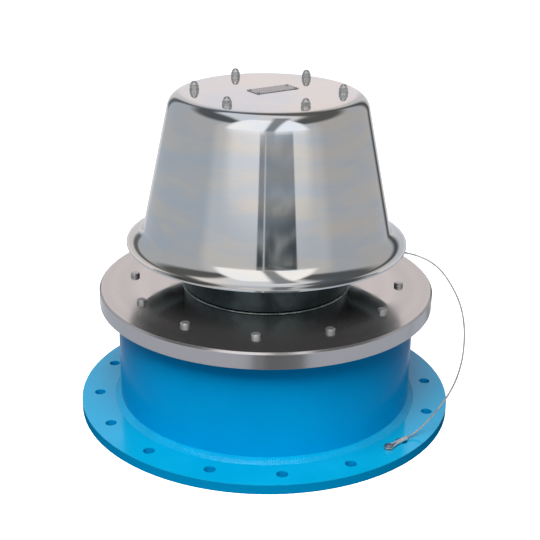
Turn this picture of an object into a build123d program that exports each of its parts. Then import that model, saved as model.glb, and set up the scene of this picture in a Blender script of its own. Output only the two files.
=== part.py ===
from build123d import *
import math
import os

# Emergency vent cover for a storage tank roof, in millimetres, +Z up.
# Origin: centre of the base flange's bottom face. The vent's axis is the Z axis.
# A weighted pallet under the hood sits on the nozzle and lifts when the tank's pressure rises.

# Driving dimensions: base flange and neck
NECK_OD = 520.7
NECK_WALL = 6.35
NECK_TOP_HEIGHT = 196.0
BASE_BOLT_OFFSET = 38.1  # from the neck out to the bolt circle
BASE_EDGE_WIDTH = 31.75  # from the bolt circle out to the flange's edge
BASE_THICKNESS = 17.0
BASE_HOLE_COUNT = 16
BASE_HOLE_D = 19.05
BASE_HOLE_START = -84.2  # direction of the first bolt hole, degrees from +X
FOOT_WELD_LEG = 10.0
FOOT_WELD_LEAN = 1.5  # how much wider than tall the foot weld is

# Driving dimensions: ring inside the neck's top, gasket and bolting
RING_THICKNESS = 16.0
RING_BOLT_INSET = 27.55  # from the neck's outside in to the bolt circle
RING_INNER_WIDTH = 27.8  # from the bolt circle in to the ring's bore
RING_WELD_LEG = 6.0
GASKET_THICKNESS = 3.0
RING_HOLE_COUNT = 12
RING_HOLE_START = -93.6
RING_CLEARANCE_D = 17.5
RING_BOLT_D = 15.8
RING_THREAD_D = 16.0
RING_BOLT_PROUD = 6.0  # how far a bolt's end stands out above the seat flange
RING_BOLT_TIP = 1.5
RING_BOLT_FLATS = 24.0
RING_BOLT_HEAD = 10.0
RING_WASHER_OD = 30.0
RING_WASHER_THICKNESS = 3.0

# Driving dimensions: polished seat flange and nozzle
SEAT_FLANGE_OVERHANG = 31.15  # how far it stands out past the neck
SEAT_FLANGE_THICKNESS = 27.8
SEAT_FLANGE_CHAMFER = 3.0
NOZZLE_OD = 288.0
NOZZLE_WALL = 6.0
NOZZLE_HEIGHT = 203.2
NOZZLE_WELD_LEG = 4.0
SEAT_RING_HEIGHT = 8.0
SEAT_RING_LIP = 6.0  # how far the seat ring stands out past the nozzle
SEAT_RING_STEP = 2.0  # how far it reaches into the nozzle's bore
SEAT_RING_EDGE = 2.0

# Driving dimensions: guide spider, bush and stem
STEM_D = 20.0
STEM_RUNNING_GAP = 0.05  # radial gap between stem and bush
BUSH_WALL = 4.0
BUSH_LENGTH = 50.0
BUSH_FIT_GAP = 0.05
BUSH_COLLAR = 3.0
BUSH_COLLAR_HEIGHT = 4.0
BUSH_BOTTOM = 290.0
HUB_WALL = 7.0
ARM_COUNT = 3
ARM_START = 90.0
ARM_WIDTH = 6.0
ARM_HEIGHT = 36.0
ARM_END_GAP = 0.1
LIFT = 80.0
LIFT_STOP_GAP = 0.5
STOP_WASHER_OD = 36.0
STOP_WASHER_THICKNESS = 3.0
STEM_TAIL_D = 16.0
STEM_NUT_FLATS = 24.0
STEM_NUT_HEIGHT = 13.0
STOP_NUT_HEIGHT = 10.0
STEM_TAIL_EXTRA = 6.0
STEM_TIP_CHAMFER = 1.5

# Driving dimensions: pallet, seal and weights
PALLET_OVERHANG = 16.0  # how far the pallet stands out past the nozzle
PALLET_THICKNESS = 8.0
SEAL_INSET = 2.0  # from the pallet's edge in to the seal's
SEAL_THICKNESS = 3.0
RETAINER_GAP = 4.0  # between the retainer and the seat ring's bore
RETAINER_WIDTH = 20.0
RETAINER_CLAMP_WIDTH = 12.0  # how much of the seal it covers
RETAINER_SCREW_INSET = 16.0  # from its edge in to the screws
RETAINER_THICKNESS = 4.0
RETAINER_SCREW_COUNT = 8
RETAINER_SCREW_D = 5.0
RETAINER_HEAD_D = 9.0
RETAINER_HEAD_HEIGHT = 3.0
SCREW_GAP = 0.1  # radial gap between a screw and its hole
WEIGHT_INSET = 15.0  # from the pallet's edge in to the weights'
WEIGHT_THICKNESS = 12.0
WEIGHT_COUNT = 2
WEIGHT_EDGE = 1.0
STEM_WASHER_OD = 34.0
STEM_WASHER_THICKNESS = 3.0

# Driving dimensions: hood and its fastening
HOOD_TOP_HEIGHT = 566.0
HOOD_SHEET = 3.0
HOOD_CORNER_R = 163.7  # radius where the top plane and the wall's cone would meet
HOOD_TAPER = 0.21  # widening of the wall per unit of height
HOOD_SHOULDER_R = 30.0
HOOD_FLARE_R = 30.0
HOOD_DEPTH = 259.9  # from the top down to the rim's underside
STUD_CIRCLE_D = 246.9
STUD_COUNT = 6
STUD_START = 58.2
STUD_D = 8.0
STUD_ENGAGED = 7.0  # thread engaged in the pallet
STUD_CLEARANCE_D = 9.0
SPACER_OD = 14.0
HOOD_WASHER_OD = 16.0
HOOD_WASHER_THICKNESS = 1.6
NUT_FLATS = 13.0
NUT_HEX_HEIGHT = 6.5
NUT_DOME_D = 12.4
NUT_HEIGHT = 13.0
NUT_THREAD_DEPTH = 9.5
NUT_CORNER_BEVEL = 0.9

# Driving dimensions: bare nameplate on the hood
PLATE_LENGTH = 83.0
PLATE_WIDTH = 34.0
PLATE_THICKNESS = 1.0
PLATE_CORNER = 2.0
PLATE_CENTRE = (7.0, 11.5)
PLATE_TURN = 34.0
RIVET_D = 3.0
RIVET_HEAD_D = 5.0
RIVET_HEAD_HEIGHT = 1.2
RIVET_INSET = 4.5
RIVET_TAIL = 3.0

# Driving dimensions: safety tether
ROPE_D = 3.0
ROPE_ARC_SHARE = 0.45  # share of the shorter run that an arc takes up
SLEEVE_D = 7.8
SLEEVE_EDGE = 0.8
FERRULE_LENGTH = 25.0
TETHER_EYE_AZIMUTH = -46.086  # where the lower terminal sits on the bolt circle
TETHER_EYE_TURN = 41.7  # direction in which the lower terminal points
TETHER_AXIS_HEIGHT = 4.0  # height of the lower terminal above the base flange
LOOP_R = 6.2  # radius of the rope's centreline round the screw
LOOP_LEG_OFFSET = 2.0  # half the distance between the loop's legs where they enter the ferrule
EYE_TO_FERRULE = 19.0
TETHER_SCREW_D = 8.0
TETHER_SCREW_DEPTH = 12.0
TETHER_HEAD_D = 11.0
TETHER_HEAD_HEIGHT = 2.2
TETHER_HEAD_ROUNDING = 1.2
TETHER_SOCKET_FLATS = 4.0
TETHER_SOCKET_DEPTH = 1.4
TETHER_WASHER_OD = 15.5
TETHER_TOP_WASHER = 0.8
CLAMP_GAP = 0.05
UPPER_TURN = -11.24  # direction of the tether's upper end round the hood
ROPE_BELOW_RIM = 4.6  # from the hood's rim down to the rope
UPPER_RUN = 25.0  # straight stretch of rope out of the tab
LOWER_RUN = 22.0  # straight stretch of rope out of the ferrule
STOP_SLEEVE_LENGTH = 12.0
TAB_INSET = 11.0  # from the rim in to the tab's inner face
TAB_THICKNESS = 3.0
TAB_WIDTH = 16.0
TAB_DROP = 8.0  # how far the tab reaches below the rope
TAB_CORNER = 3.0
TAB_HOLE_D = 4.0

# Heights and radii that follow from the driving dimensions
NECK_R = NECK_OD / 2
NECK_INNER_R = NECK_R - NECK_WALL
BASE_CIRCLE_R = NECK_R + BASE_BOLT_OFFSET
BASE_R = BASE_CIRCLE_R + BASE_EDGE_WIDTH
RING_CIRCLE_R = NECK_R - RING_BOLT_INSET
RING_BORE_R = RING_CIRCLE_R - RING_INNER_WIDTH
RING_BOTTOM = NECK_TOP_HEIGHT - RING_THICKNESS
SEAT_FLANGE_R = NECK_R + SEAT_FLANGE_OVERHANG
SEAT_FLANGE_BOTTOM = NECK_TOP_HEIGHT + GASKET_THICKNESS
SEAT_FLANGE_TOP = SEAT_FLANGE_BOTTOM + SEAT_FLANGE_THICKNESS
NOZZLE_R = NOZZLE_OD / 2
NOZZLE_BORE_R = NOZZLE_R - NOZZLE_WALL
SEAT_BORE_R = NOZZLE_BORE_R - SEAT_RING_STEP
PALLET_R = NOZZLE_R + PALLET_OVERHANG
RETAINER_R = SEAT_BORE_R - RETAINER_GAP
RETAINER_BORE_R = RETAINER_R - RETAINER_WIDTH
RETAINER_CIRCLE_R = RETAINER_R - RETAINER_SCREW_INSET
SEAL_BORE_R = RETAINER_R - RETAINER_CLAMP_WIDTH
NOZZLE_TOP = SEAT_FLANGE_TOP + NOZZLE_HEIGHT
SEAT_Z = NOZZLE_TOP + SEAT_RING_HEIGHT
PALLET_BOTTOM = SEAT_Z + SEAL_THICKNESS
PALLET_TOP = PALLET_BOTTOM + PALLET_THICKNESS
STACK_TOP = PALLET_TOP + WEIGHT_COUNT * WEIGHT_THICKNESS
HOOD_INNER_TOP = HOOD_TOP_HEIGHT - HOOD_SHEET
HOOD_LEAN = math.atan(HOOD_TAPER)
HOOD_RIM_BOTTOM = HOOD_TOP_HEIGHT - HOOD_DEPTH
HOOD_RIM_TOP = HOOD_RIM_BOTTOM + HOOD_SHEET
FLARE_Z = HOOD_RIM_TOP + HOOD_FLARE_R  # height of the flare's centre, which is above the rim
FLARE_WALL_R = HOOD_CORNER_R + HOOD_TAPER * (HOOD_TOP_HEIGHT - FLARE_Z)
HOOD_RIM_R = FLARE_WALL_R + HOOD_FLARE_R / math.cos(HOOD_LEAN)
STUD_CIRCLE_R = STUD_CIRCLE_D / 2
STEM_R = STEM_D / 2
BUSH_BORE_R = STEM_R + STEM_RUNNING_GAP
BUSH_R = BUSH_BORE_R + BUSH_WALL
HUB_BORE_R = BUSH_R + BUSH_FIT_GAP
HUB_R = HUB_BORE_R + HUB_WALL
BUSH_TOP = BUSH_BOTTOM + BUSH_LENGTH
STOP_WASHER_TOP = BUSH_BOTTOM - LIFT - LIFT_STOP_GAP
STOP_WASHER_BOTTOM = STOP_WASHER_TOP - STOP_WASHER_THICKNESS
STEM_BOTTOM = STOP_WASHER_BOTTOM - 2 * STOP_NUT_HEIGHT - STEM_TAIL_EXTRA
STEM_NUT_BOTTOM = STACK_TOP + STEM_WASHER_THICKNESS
STEM_TOP = STEM_NUT_BOTTOM + STEM_NUT_HEIGHT + STEM_TIP_CHAMFER
STUD_BORE_R = STUD_D / 2 + CLAMP_GAP
RIVET_SPACING = (PLATE_LENGTH - 2 * RIVET_INSET, PLATE_WIDTH - 2 * RIVET_INSET)
TETHER_Z = BASE_THICKNESS + TETHER_AXIS_HEIGHT
UPPER_HEIGHT = HOOD_RIM_BOTTOM - ROPE_BELOW_RIM
TAB_R = HOOD_RIM_R - TAB_INSET


def hood_outline(inset):
    """Points of the hood's outer face, moved into the sheet by inset, from the top to the rim."""
    turn = math.pi / 2 - HOOD_LEAN
    across = math.cos(HOOD_LEAN)
    rise = math.sin(HOOD_LEAN)
    shoulder = HOOD_SHOULDER_R - inset
    shoulder_r = HOOD_CORNER_R - HOOD_SHOULDER_R * math.tan(turn / 2)
    shoulder_z = HOOD_TOP_HEIGHT - HOOD_SHOULDER_R
    flare = HOOD_FLARE_R + inset
    half = (math.pi / 2 + HOOD_LEAN) / 2
    return {
        "top": (shoulder_r, HOOD_TOP_HEIGHT - inset),
        "shoulder": (
            shoulder_r + shoulder * math.cos(half),
            shoulder_z + shoulder * math.sin(half),
        ),
        "wall_top": (shoulder_r + shoulder * across, shoulder_z + shoulder * rise),
        "wall_foot": (HOOD_RIM_R - flare * across, FLARE_Z - flare * rise),
        "flare": (HOOD_RIM_R - flare * math.cos(half), FLARE_Z - flare * math.sin(half)),
        "rim": (HOOD_RIM_R, FLARE_Z - flare),
    }


def washer_on_stem(outer_d, height):
    """Outline of a washer on the stem's threaded end, at a height."""
    with BuildSketch(Plane.XY.offset(height)) as outline:
        Circle(outer_d / 2)
        Circle(STEM_TAIL_D / 2 + CLAMP_GAP, mode=Mode.SUBTRACT)
    return outline.sketch


def nut_on_stem(height):
    """Outline of a nut on the stem's threaded end, at a height."""
    with BuildSketch(Plane.XY.offset(height)) as outline:
        RegularPolygon(STEM_NUT_FLATS / 2, 6, major_radius=False)
        Circle(STEM_TAIL_D / 2 + CLAMP_GAP, mode=Mode.SUBTRACT)
    return outline.sketch


def bend_radii(route):
    """Radius of the arc at each corner of a rope's route, as large as its two runs allow."""
    points = [Vector(*point) for point in route]
    radii = []
    for before, corner, after in zip(points[:-2], points[1:-1], points[2:]):
        shorter = min((corner - before).length, (after - corner).length)
        half_turn = math.radians((corner - before).get_angle(after - corner)) / 2
        radii.append(ROPE_ARC_SHARE * shorter / math.tan(half_turn))
    return radii


def save(piece, name):
    """Name a finished piece and write it to its own file."""
    piece.part.label = name
    export_step(piece.part, f"parts/{name}.step")


# The tether's rope, from the stop sleeve under the rim to the ferrule on the base flange. The
# points are corners of the route, chosen by hand; the rope springs out past the seat flange.
TETHER_EYE = (
    BASE_CIRCLE_R * math.cos(math.radians(TETHER_EYE_AZIMUTH)),
    BASE_CIRCLE_R * math.sin(math.radians(TETHER_EYE_AZIMUTH)),
)
EYE_DIRECTION = (math.cos(math.radians(TETHER_EYE_TURN)), math.sin(math.radians(TETHER_EYE_TURN)))
UPPER_DIRECTION = (math.cos(math.radians(UPPER_TURN)), math.sin(math.radians(UPPER_TURN)))
FERRULE_END = EYE_TO_FERRULE + FERRULE_LENGTH
ROPE_START = (TAB_R * UPPER_DIRECTION[0], TAB_R * UPPER_DIRECTION[1], UPPER_HEIGHT)
ROPE_END = (
    TETHER_EYE[0] + FERRULE_END * EYE_DIRECTION[0],
    TETHER_EYE[1] + FERRULE_END * EYE_DIRECTION[1],
    TETHER_Z,
)
ROPE_ROUTE = [
    ROPE_START,
    (
        ROPE_START[0] + UPPER_RUN * UPPER_DIRECTION[0],
        ROPE_START[1] + UPPER_RUN * UPPER_DIRECTION[1],
        UPPER_HEIGHT,
    ),
    (293, -66, 285),
    (323, -88, 243),
    (335, -103, 207),
    (337, -119, 167),
    (331, -134, 128),
    (316, -148, 91),
    (288, -160, 53),
    (
        ROPE_END[0] + LOWER_RUN * EYE_DIRECTION[0],
        ROPE_END[1] + LOWER_RUN * EYE_DIRECTION[1],
        TETHER_Z,
    ),
    ROPE_END,
]

os.makedirs("parts", exist_ok=True)

# Base flange: bolted to the tank's roof nozzle, with a tapped hole for the tether's screw
with BuildPart() as base_flange:
    with BuildSketch(Plane.XY):
        Circle(BASE_R)
        Circle(NECK_INNER_R, mode=Mode.SUBTRACT)
        with PolarLocations(BASE_CIRCLE_R, BASE_HOLE_COUNT, start_angle=BASE_HOLE_START):
            Circle(BASE_HOLE_D / 2, mode=Mode.SUBTRACT)
    extrude(amount=BASE_THICKNESS)
    with BuildSketch(Plane.XY.offset(BASE_THICKNESS)):
        with Locations(TETHER_EYE):
            Circle(TETHER_SCREW_D / 2 + CLAMP_GAP)
    extrude(amount=-TETHER_SCREW_DEPTH, mode=Mode.SUBTRACT)
save(base_flange, "base_flange")

# Neck: a rolled shell standing on the base flange
with BuildPart() as neck_shell:
    with BuildSketch(Plane.XY.offset(BASE_THICKNESS)):
        Circle(NECK_R)
        Circle(NECK_INNER_R, mode=Mode.SUBTRACT)
    extrude(amount=NECK_TOP_HEIGHT - BASE_THICKNESS)
save(neck_shell, "neck_shell")

# Fillet weld round the neck's foot
with BuildPart() as neck_foot_weld:
    with BuildSketch(Plane.XZ):
        with BuildLine():
            toe = (NECK_R + FOOT_WELD_LEG + FOOT_WELD_LEAN, BASE_THICKNESS)
            heel = (NECK_R, BASE_THICKNESS)
            crest = (NECK_R, BASE_THICKNESS + FOOT_WELD_LEG)
            Polyline(toe, heel, crest)
            RadiusArc(crest, toe, 3 * FOOT_WELD_LEG)
        make_face()
    revolve(axis=Axis.Z)
save(neck_foot_weld, "neck_foot_weld")

# Ring welded inside the neck's top, with clearance holes for the seat flange's bolts
with BuildPart() as neck_top_ring:
    with BuildSketch(Plane.XY.offset(RING_BOTTOM)):
        Circle(NECK_INNER_R)
        Circle(RING_BORE_R, mode=Mode.SUBTRACT)
        with PolarLocations(RING_CIRCLE_R, RING_HOLE_COUNT, start_angle=RING_HOLE_START):
            Circle(RING_CLEARANCE_D / 2, mode=Mode.SUBTRACT)
    extrude(amount=RING_THICKNESS)
save(neck_top_ring, "neck_top_ring")

# Fillet weld under that ring, on the neck's inner wall
with BuildPart() as top_ring_weld:
    with BuildSketch(Plane.XZ):
        with BuildLine():
            corner = (NECK_INNER_R, RING_BOTTOM)
            on_ring = (NECK_INNER_R - RING_WELD_LEG, RING_BOTTOM)
            on_wall = (NECK_INNER_R, RING_BOTTOM - RING_WELD_LEG)
            Polyline(on_ring, corner, on_wall, close=True)
        make_face()
    revolve(axis=Axis.Z)
save(top_ring_weld, "top_ring_weld")

# Gasket between the neck and the seat flange
with BuildPart() as seat_gasket:
    with BuildSketch(Plane.XY.offset(NECK_TOP_HEIGHT)):
        Circle(NECK_R)
        Circle(RING_BORE_R, mode=Mode.SUBTRACT)
        with PolarLocations(RING_CIRCLE_R, RING_HOLE_COUNT, start_angle=RING_HOLE_START):
            Circle(RING_CLEARANCE_D / 2, mode=Mode.SUBTRACT)
    extrude(amount=GASKET_THICKNESS)
save(seat_gasket, "seat_gasket")

# Seat flange: polished plate with tapped holes that go right through it
with BuildPart() as seat_flange:
    with BuildSketch(Plane.XY.offset(SEAT_FLANGE_BOTTOM)):
        Circle(SEAT_FLANGE_R)
    extrude(amount=SEAT_FLANGE_THICKNESS)
    rim_edges = seat_flange.edges().filter_by(GeomType.CIRCLE)
    chamfer(rim_edges.sort_by(Axis.Z)[-1], SEAT_FLANGE_CHAMFER)
    with BuildSketch(Plane.XY.offset(SEAT_FLANGE_TOP)):
        Circle(NOZZLE_BORE_R)
        with PolarLocations(RING_CIRCLE_R, RING_HOLE_COUNT, start_angle=RING_HOLE_START):
            Circle(RING_THREAD_D / 2)
    extrude(amount=-SEAT_FLANGE_THICKNESS, mode=Mode.SUBTRACT)
save(seat_flange, "seat_flange")

# Bolts from below, through the neck's ring and the gasket, and screwed through the seat flange
BOLT_HEAD_BOTTOM = RING_BOTTOM - RING_WASHER_THICKNESS - RING_BOLT_HEAD
with BuildPart() as ring_bolts:
    with BuildSketch(Plane.XY.offset(BOLT_HEAD_BOTTOM)):
        with PolarLocations(RING_CIRCLE_R, RING_HOLE_COUNT, start_angle=RING_HOLE_START):
            RegularPolygon(RING_BOLT_FLATS / 2, 6, major_radius=False)
    extrude(amount=RING_BOLT_HEAD)
    with BuildSketch(Plane.XY.offset(BOLT_HEAD_BOTTOM)):
        with PolarLocations(RING_CIRCLE_R, RING_HOLE_COUNT, start_angle=RING_HOLE_START):
            Circle(RING_BOLT_D / 2)
    extrude(amount=SEAT_FLANGE_TOP + RING_BOLT_PROUD - BOLT_HEAD_BOTTOM)
    chamfer(ring_bolts.edges().group_by(Axis.Z)[-1], RING_BOLT_TIP)
save(ring_bolts, "ring_bolts")

# Washers under those bolts' heads
with BuildPart() as ring_bolt_washers:
    with BuildSketch(Plane.XY.offset(RING_BOTTOM - RING_WASHER_THICKNESS)):
        with PolarLocations(RING_CIRCLE_R, RING_HOLE_COUNT, start_angle=RING_HOLE_START):
            Circle(RING_WASHER_OD / 2)
            Circle(RING_CLEARANCE_D / 2, mode=Mode.SUBTRACT)
    extrude(amount=RING_WASHER_THICKNESS)
save(ring_bolt_washers, "ring_bolt_washers")

# Nozzle: the tube that the gas rises through
with BuildPart() as nozzle:
    with BuildSketch(Plane.XY.offset(SEAT_FLANGE_TOP)):
        Circle(NOZZLE_R)
        Circle(NOZZLE_BORE_R, mode=Mode.SUBTRACT)
    extrude(amount=NOZZLE_HEIGHT)
save(nozzle, "nozzle")

# Weld bead round the nozzle's foot
with BuildPart() as nozzle_weld:
    with BuildSketch(Plane.XZ):
        with BuildLine():
            weld_toe = (NOZZLE_R + NOZZLE_WELD_LEG, SEAT_FLANGE_TOP)
            weld_heel = (NOZZLE_R, SEAT_FLANGE_TOP)
            weld_crest = (NOZZLE_R, SEAT_FLANGE_TOP + NOZZLE_WELD_LEG)
            Polyline(weld_toe, weld_heel, weld_crest)
            RadiusArc(weld_crest, weld_toe, 3 * NOZZLE_WELD_LEG)
        make_face()
    revolve(axis=Axis.Z)
save(nozzle_weld, "nozzle_weld")

# Seat ring: machined ring on the nozzle's top that the pallet's seal closes on
with BuildPart() as seat_ring:
    with BuildSketch(Plane.XY.offset(NOZZLE_TOP)):
        Circle(NOZZLE_R + SEAT_RING_LIP)
        Circle(SEAT_BORE_R, mode=Mode.SUBTRACT)
    extrude(amount=SEAT_RING_HEIGHT)
    fillet(seat_ring.edges().filter_by(GeomType.CIRCLE).group_by(Axis.Z)[-1], SEAT_RING_EDGE)
save(seat_ring, "seat_ring")

# Guide spider: a hub held in the nozzle by three arms
with BuildPart() as guide_spider:
    with BuildSketch(Plane.XY.offset(BUSH_BOTTOM)):
        Circle(HUB_R)
    extrude(amount=BUSH_LENGTH - BUSH_COLLAR_HEIGHT)
    with BuildSketch(Plane.XY.offset(BUSH_BOTTOM)):
        with PolarLocations(0, ARM_COUNT, start_angle=ARM_START):
            Rectangle(NOZZLE_OD, ARM_WIDTH, align=(Align.MIN, Align.CENTER))
    extrude(amount=ARM_HEIGHT)
    with BuildSketch(Plane.XY.offset(BUSH_BOTTOM)):
        Circle(NOZZLE_OD * 2)
        Circle(NOZZLE_BORE_R - ARM_END_GAP, mode=Mode.SUBTRACT)
    extrude(amount=BUSH_LENGTH, mode=Mode.SUBTRACT)
    with BuildSketch(Plane.XY.offset(BUSH_BOTTOM)):
        Circle(HUB_BORE_R)
    extrude(amount=BUSH_LENGTH, mode=Mode.SUBTRACT)
save(guide_spider, "guide_spider")

# Bush in the hub, with a collar that rests on the hub's top
with BuildPart() as guide_bush:
    with BuildSketch(Plane.XY.offset(BUSH_BOTTOM)):
        Circle(BUSH_R)
    extrude(amount=BUSH_LENGTH)
    with BuildSketch(Plane.XY.offset(BUSH_TOP - BUSH_COLLAR_HEIGHT)):
        Circle(HUB_BORE_R + BUSH_COLLAR)
    extrude(amount=BUSH_COLLAR_HEIGHT)
    with BuildSketch(Plane.XY.offset(BUSH_BOTTOM)):
        Circle(BUSH_BORE_R)
    extrude(amount=BUSH_LENGTH, mode=Mode.SUBTRACT)
save(guide_bush, "guide_bush")

# Pallet: the disc that closes the nozzle
with BuildPart() as pallet:
    with BuildSketch(Plane.XY.offset(PALLET_BOTTOM)):
        Circle(PALLET_R)
        Circle(STEM_TAIL_D / 2 + SCREW_GAP, mode=Mode.SUBTRACT)
    extrude(amount=PALLET_THICKNESS)
    with BuildSketch(Plane.XY.offset(PALLET_TOP)):
        with PolarLocations(STUD_CIRCLE_R, STUD_COUNT, start_angle=STUD_START):
            Circle(STUD_BORE_R)
    extrude(amount=-STUD_ENGAGED, mode=Mode.SUBTRACT)
    with BuildSketch(Plane.XY.offset(PALLET_BOTTOM)):
        with PolarLocations(RETAINER_CIRCLE_R, RETAINER_SCREW_COUNT):
            Circle(RETAINER_SCREW_D / 2 + SCREW_GAP)
    extrude(amount=PALLET_THICKNESS / 2, mode=Mode.SUBTRACT)
save(pallet, "pallet")

# Soft seal under the pallet
with BuildPart() as seat_seal:
    with BuildSketch(Plane.XY.offset(SEAT_Z)):
        Circle(PALLET_R - SEAL_INSET)
        Circle(SEAL_BORE_R, mode=Mode.SUBTRACT)
    extrude(amount=SEAL_THICKNESS)
save(seat_seal, "seat_seal")

# Retainer: an angle ring that fills the seal's middle and clamps its inner edge from below
with BuildPart() as seal_retainer:
    with BuildSketch(Plane.XY.offset(SEAT_Z - RETAINER_THICKNESS)):
        Circle(RETAINER_R)
        Circle(RETAINER_BORE_R, mode=Mode.SUBTRACT)
    extrude(amount=RETAINER_THICKNESS)
    with BuildSketch(Plane.XY.offset(SEAT_Z)):
        Circle(SEAL_BORE_R)
        Circle(RETAINER_BORE_R, mode=Mode.SUBTRACT)
    extrude(amount=SEAL_THICKNESS)
    with BuildSketch(Plane.XY.offset(PALLET_BOTTOM)):
        with PolarLocations(RETAINER_CIRCLE_R, RETAINER_SCREW_COUNT):
            Circle(RETAINER_SCREW_D / 2 + SCREW_GAP)
    extrude(amount=-RETAINER_THICKNESS - SEAL_THICKNESS, mode=Mode.SUBTRACT)
save(seal_retainer, "seal_retainer")

# Screws that hold the retainer to the pallet
with BuildPart() as retainer_screws:
    with BuildSketch(Plane.XY.offset(SEAT_Z - RETAINER_THICKNESS - RETAINER_HEAD_HEIGHT)):
        with PolarLocations(RETAINER_CIRCLE_R, RETAINER_SCREW_COUNT):
            Circle(RETAINER_HEAD_D / 2)
    extrude(amount=RETAINER_HEAD_HEIGHT)
    with BuildSketch(Plane.XY.offset(SEAT_Z - RETAINER_THICKNESS)):
        with PolarLocations(RETAINER_CIRCLE_R, RETAINER_SCREW_COUNT):
            Circle(RETAINER_SCREW_D / 2)
    extrude(amount=RETAINER_THICKNESS + SEAL_THICKNESS + PALLET_THICKNESS / 2 - SCREW_GAP)
save(retainer_screws, "retainer_screws")

# Weight discs stacked on the pallet, under the spacer tubes
for number in range(WEIGHT_COUNT):
    with BuildPart() as weight_disc:
        with BuildSketch(Plane.XY.offset(PALLET_TOP + number * WEIGHT_THICKNESS)):
            Circle(PALLET_R - WEIGHT_INSET)
            Circle(STEM_TAIL_D / 2 + SCREW_GAP, mode=Mode.SUBTRACT)
            with PolarLocations(STUD_CIRCLE_R, STUD_COUNT, start_angle=STUD_START):
                Circle(STUD_CLEARANCE_D / 2, mode=Mode.SUBTRACT)
        extrude(amount=WEIGHT_THICKNESS)
        outer_edges = weight_disc.edges().filter_by(GeomType.CIRCLE).sort_by(SortBy.RADIUS)[-2:]
        chamfer(outer_edges, WEIGHT_EDGE)
    save(weight_disc, f"weight_disc_{number + 1}")

# Guide stem: shouldered under the pallet, threaded at both ends
with BuildPart() as guide_stem:
    with BuildSketch(Plane.XY.offset(STEM_BOTTOM)):
        Circle(STEM_TAIL_D / 2)
    extrude(amount=STEM_TOP - STEM_BOTTOM)
    with BuildSketch(Plane.XY.offset(STOP_WASHER_TOP)):
        Circle(STEM_R)
    extrude(amount=PALLET_BOTTOM - STOP_WASHER_TOP)
    end_edges = guide_stem.edges().filter_by(GeomType.CIRCLE).sort_by(Axis.Z)
    chamfer([end_edges[0], end_edges[-1]], STEM_TIP_CHAMFER)
save(guide_stem, "guide_stem")

# Washer and nut that clamp pallet and weights to the stem's shoulder
with BuildPart() as stem_top_washer:
    extrude(washer_on_stem(STEM_WASHER_OD, STACK_TOP), amount=STEM_WASHER_THICKNESS)
save(stem_top_washer, "stem_top_washer")

with BuildPart() as stem_top_nut:
    extrude(nut_on_stem(STEM_NUT_BOTTOM), amount=STEM_NUT_HEIGHT)
save(stem_top_nut, "stem_top_nut")

# Lift stop: a washer and two locked nuts that meet the bush's end at full lift
with BuildPart() as lift_stop_washer:
    extrude(washer_on_stem(STOP_WASHER_OD, STOP_WASHER_BOTTOM), amount=STOP_WASHER_THICKNESS)
save(lift_stop_washer, "lift_stop_washer")

for number, name in enumerate(("lift_stop_nut", "lift_lock_nut")):
    with BuildPart() as stop_nut:
        extrude(
            nut_on_stem(STOP_WASHER_BOTTOM - (number + 1) * STOP_NUT_HEIGHT),
            amount=STOP_NUT_HEIGHT,
        )
    save(stop_nut, name)

# Hood: one spun sheet with a flat top, a rounded shoulder, a tapered wall and a flared rim
OUTER = hood_outline(0.0)
INNER = hood_outline(HOOD_SHEET)
with BuildPart() as hood:
    with BuildSketch(Plane.XZ):
        with BuildLine():
            Line((0, HOOD_TOP_HEIGHT), OUTER["top"])
            ThreePointArc(OUTER["top"], OUTER["shoulder"], OUTER["wall_top"])
            Line(OUTER["wall_top"], OUTER["wall_foot"])
            ThreePointArc(OUTER["wall_foot"], OUTER["flare"], OUTER["rim"])
            Line(OUTER["rim"], INNER["rim"])
            ThreePointArc(INNER["rim"], INNER["flare"], INNER["wall_foot"])
            Line(INNER["wall_foot"], INNER["wall_top"])
            ThreePointArc(INNER["wall_top"], INNER["shoulder"], INNER["top"])
            Line(INNER["top"], (0, HOOD_INNER_TOP))
            Line((0, HOOD_INNER_TOP), (0, HOOD_TOP_HEIGHT))
        make_face()
    revolve(axis=Axis.Z)
    with BuildSketch(Plane.XY.offset(HOOD_TOP_HEIGHT)):
        with PolarLocations(STUD_CIRCLE_R, STUD_COUNT, start_angle=STUD_START):
            Circle(STUD_CLEARANCE_D / 2)
        with Locations(Location((*PLATE_CENTRE, 0), (0, 0, PLATE_TURN))):
            with GridLocations(*RIVET_SPACING, 2, 2):
                Circle(RIVET_D / 2 + CLAMP_GAP)
    extrude(amount=-HOOD_SHEET, mode=Mode.SUBTRACT)
save(hood, "hood")

# Studs that tie hood, weights and pallet together
with BuildPart() as cover_studs:
    with BuildSketch(Plane.XY.offset(PALLET_TOP - STUD_ENGAGED)):
        with PolarLocations(STUD_CIRCLE_R, STUD_COUNT, start_angle=STUD_START):
            Circle(STUD_D / 2)
    extrude(
        amount=HOOD_TOP_HEIGHT + HOOD_WASHER_THICKNESS + NUT_THREAD_DEPTH
        - SCREW_GAP - PALLET_TOP + STUD_ENGAGED
    )
save(cover_studs, "cover_studs")

# Spacer tubes on the studs, between the weights and the hood
with BuildPart() as spacer_tubes:
    with BuildSketch(Plane.XY.offset(STACK_TOP)):
        with PolarLocations(STUD_CIRCLE_R, STUD_COUNT, start_angle=STUD_START):
            Circle(SPACER_OD / 2)
            Circle(STUD_CLEARANCE_D / 2, mode=Mode.SUBTRACT)
    extrude(amount=HOOD_INNER_TOP - STACK_TOP)
save(spacer_tubes, "spacer_tubes")

with BuildPart() as hood_washers:
    with BuildSketch(Plane.XY.offset(HOOD_TOP_HEIGHT)):
        with PolarLocations(STUD_CIRCLE_R, STUD_COUNT, start_angle=STUD_START):
            Circle(HOOD_WASHER_OD / 2)
            Circle(STUD_CLEARANCE_D / 2, mode=Mode.SUBTRACT)
    extrude(amount=HOOD_WASHER_THICKNESS)
save(hood_washers, "hood_washers")

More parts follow.
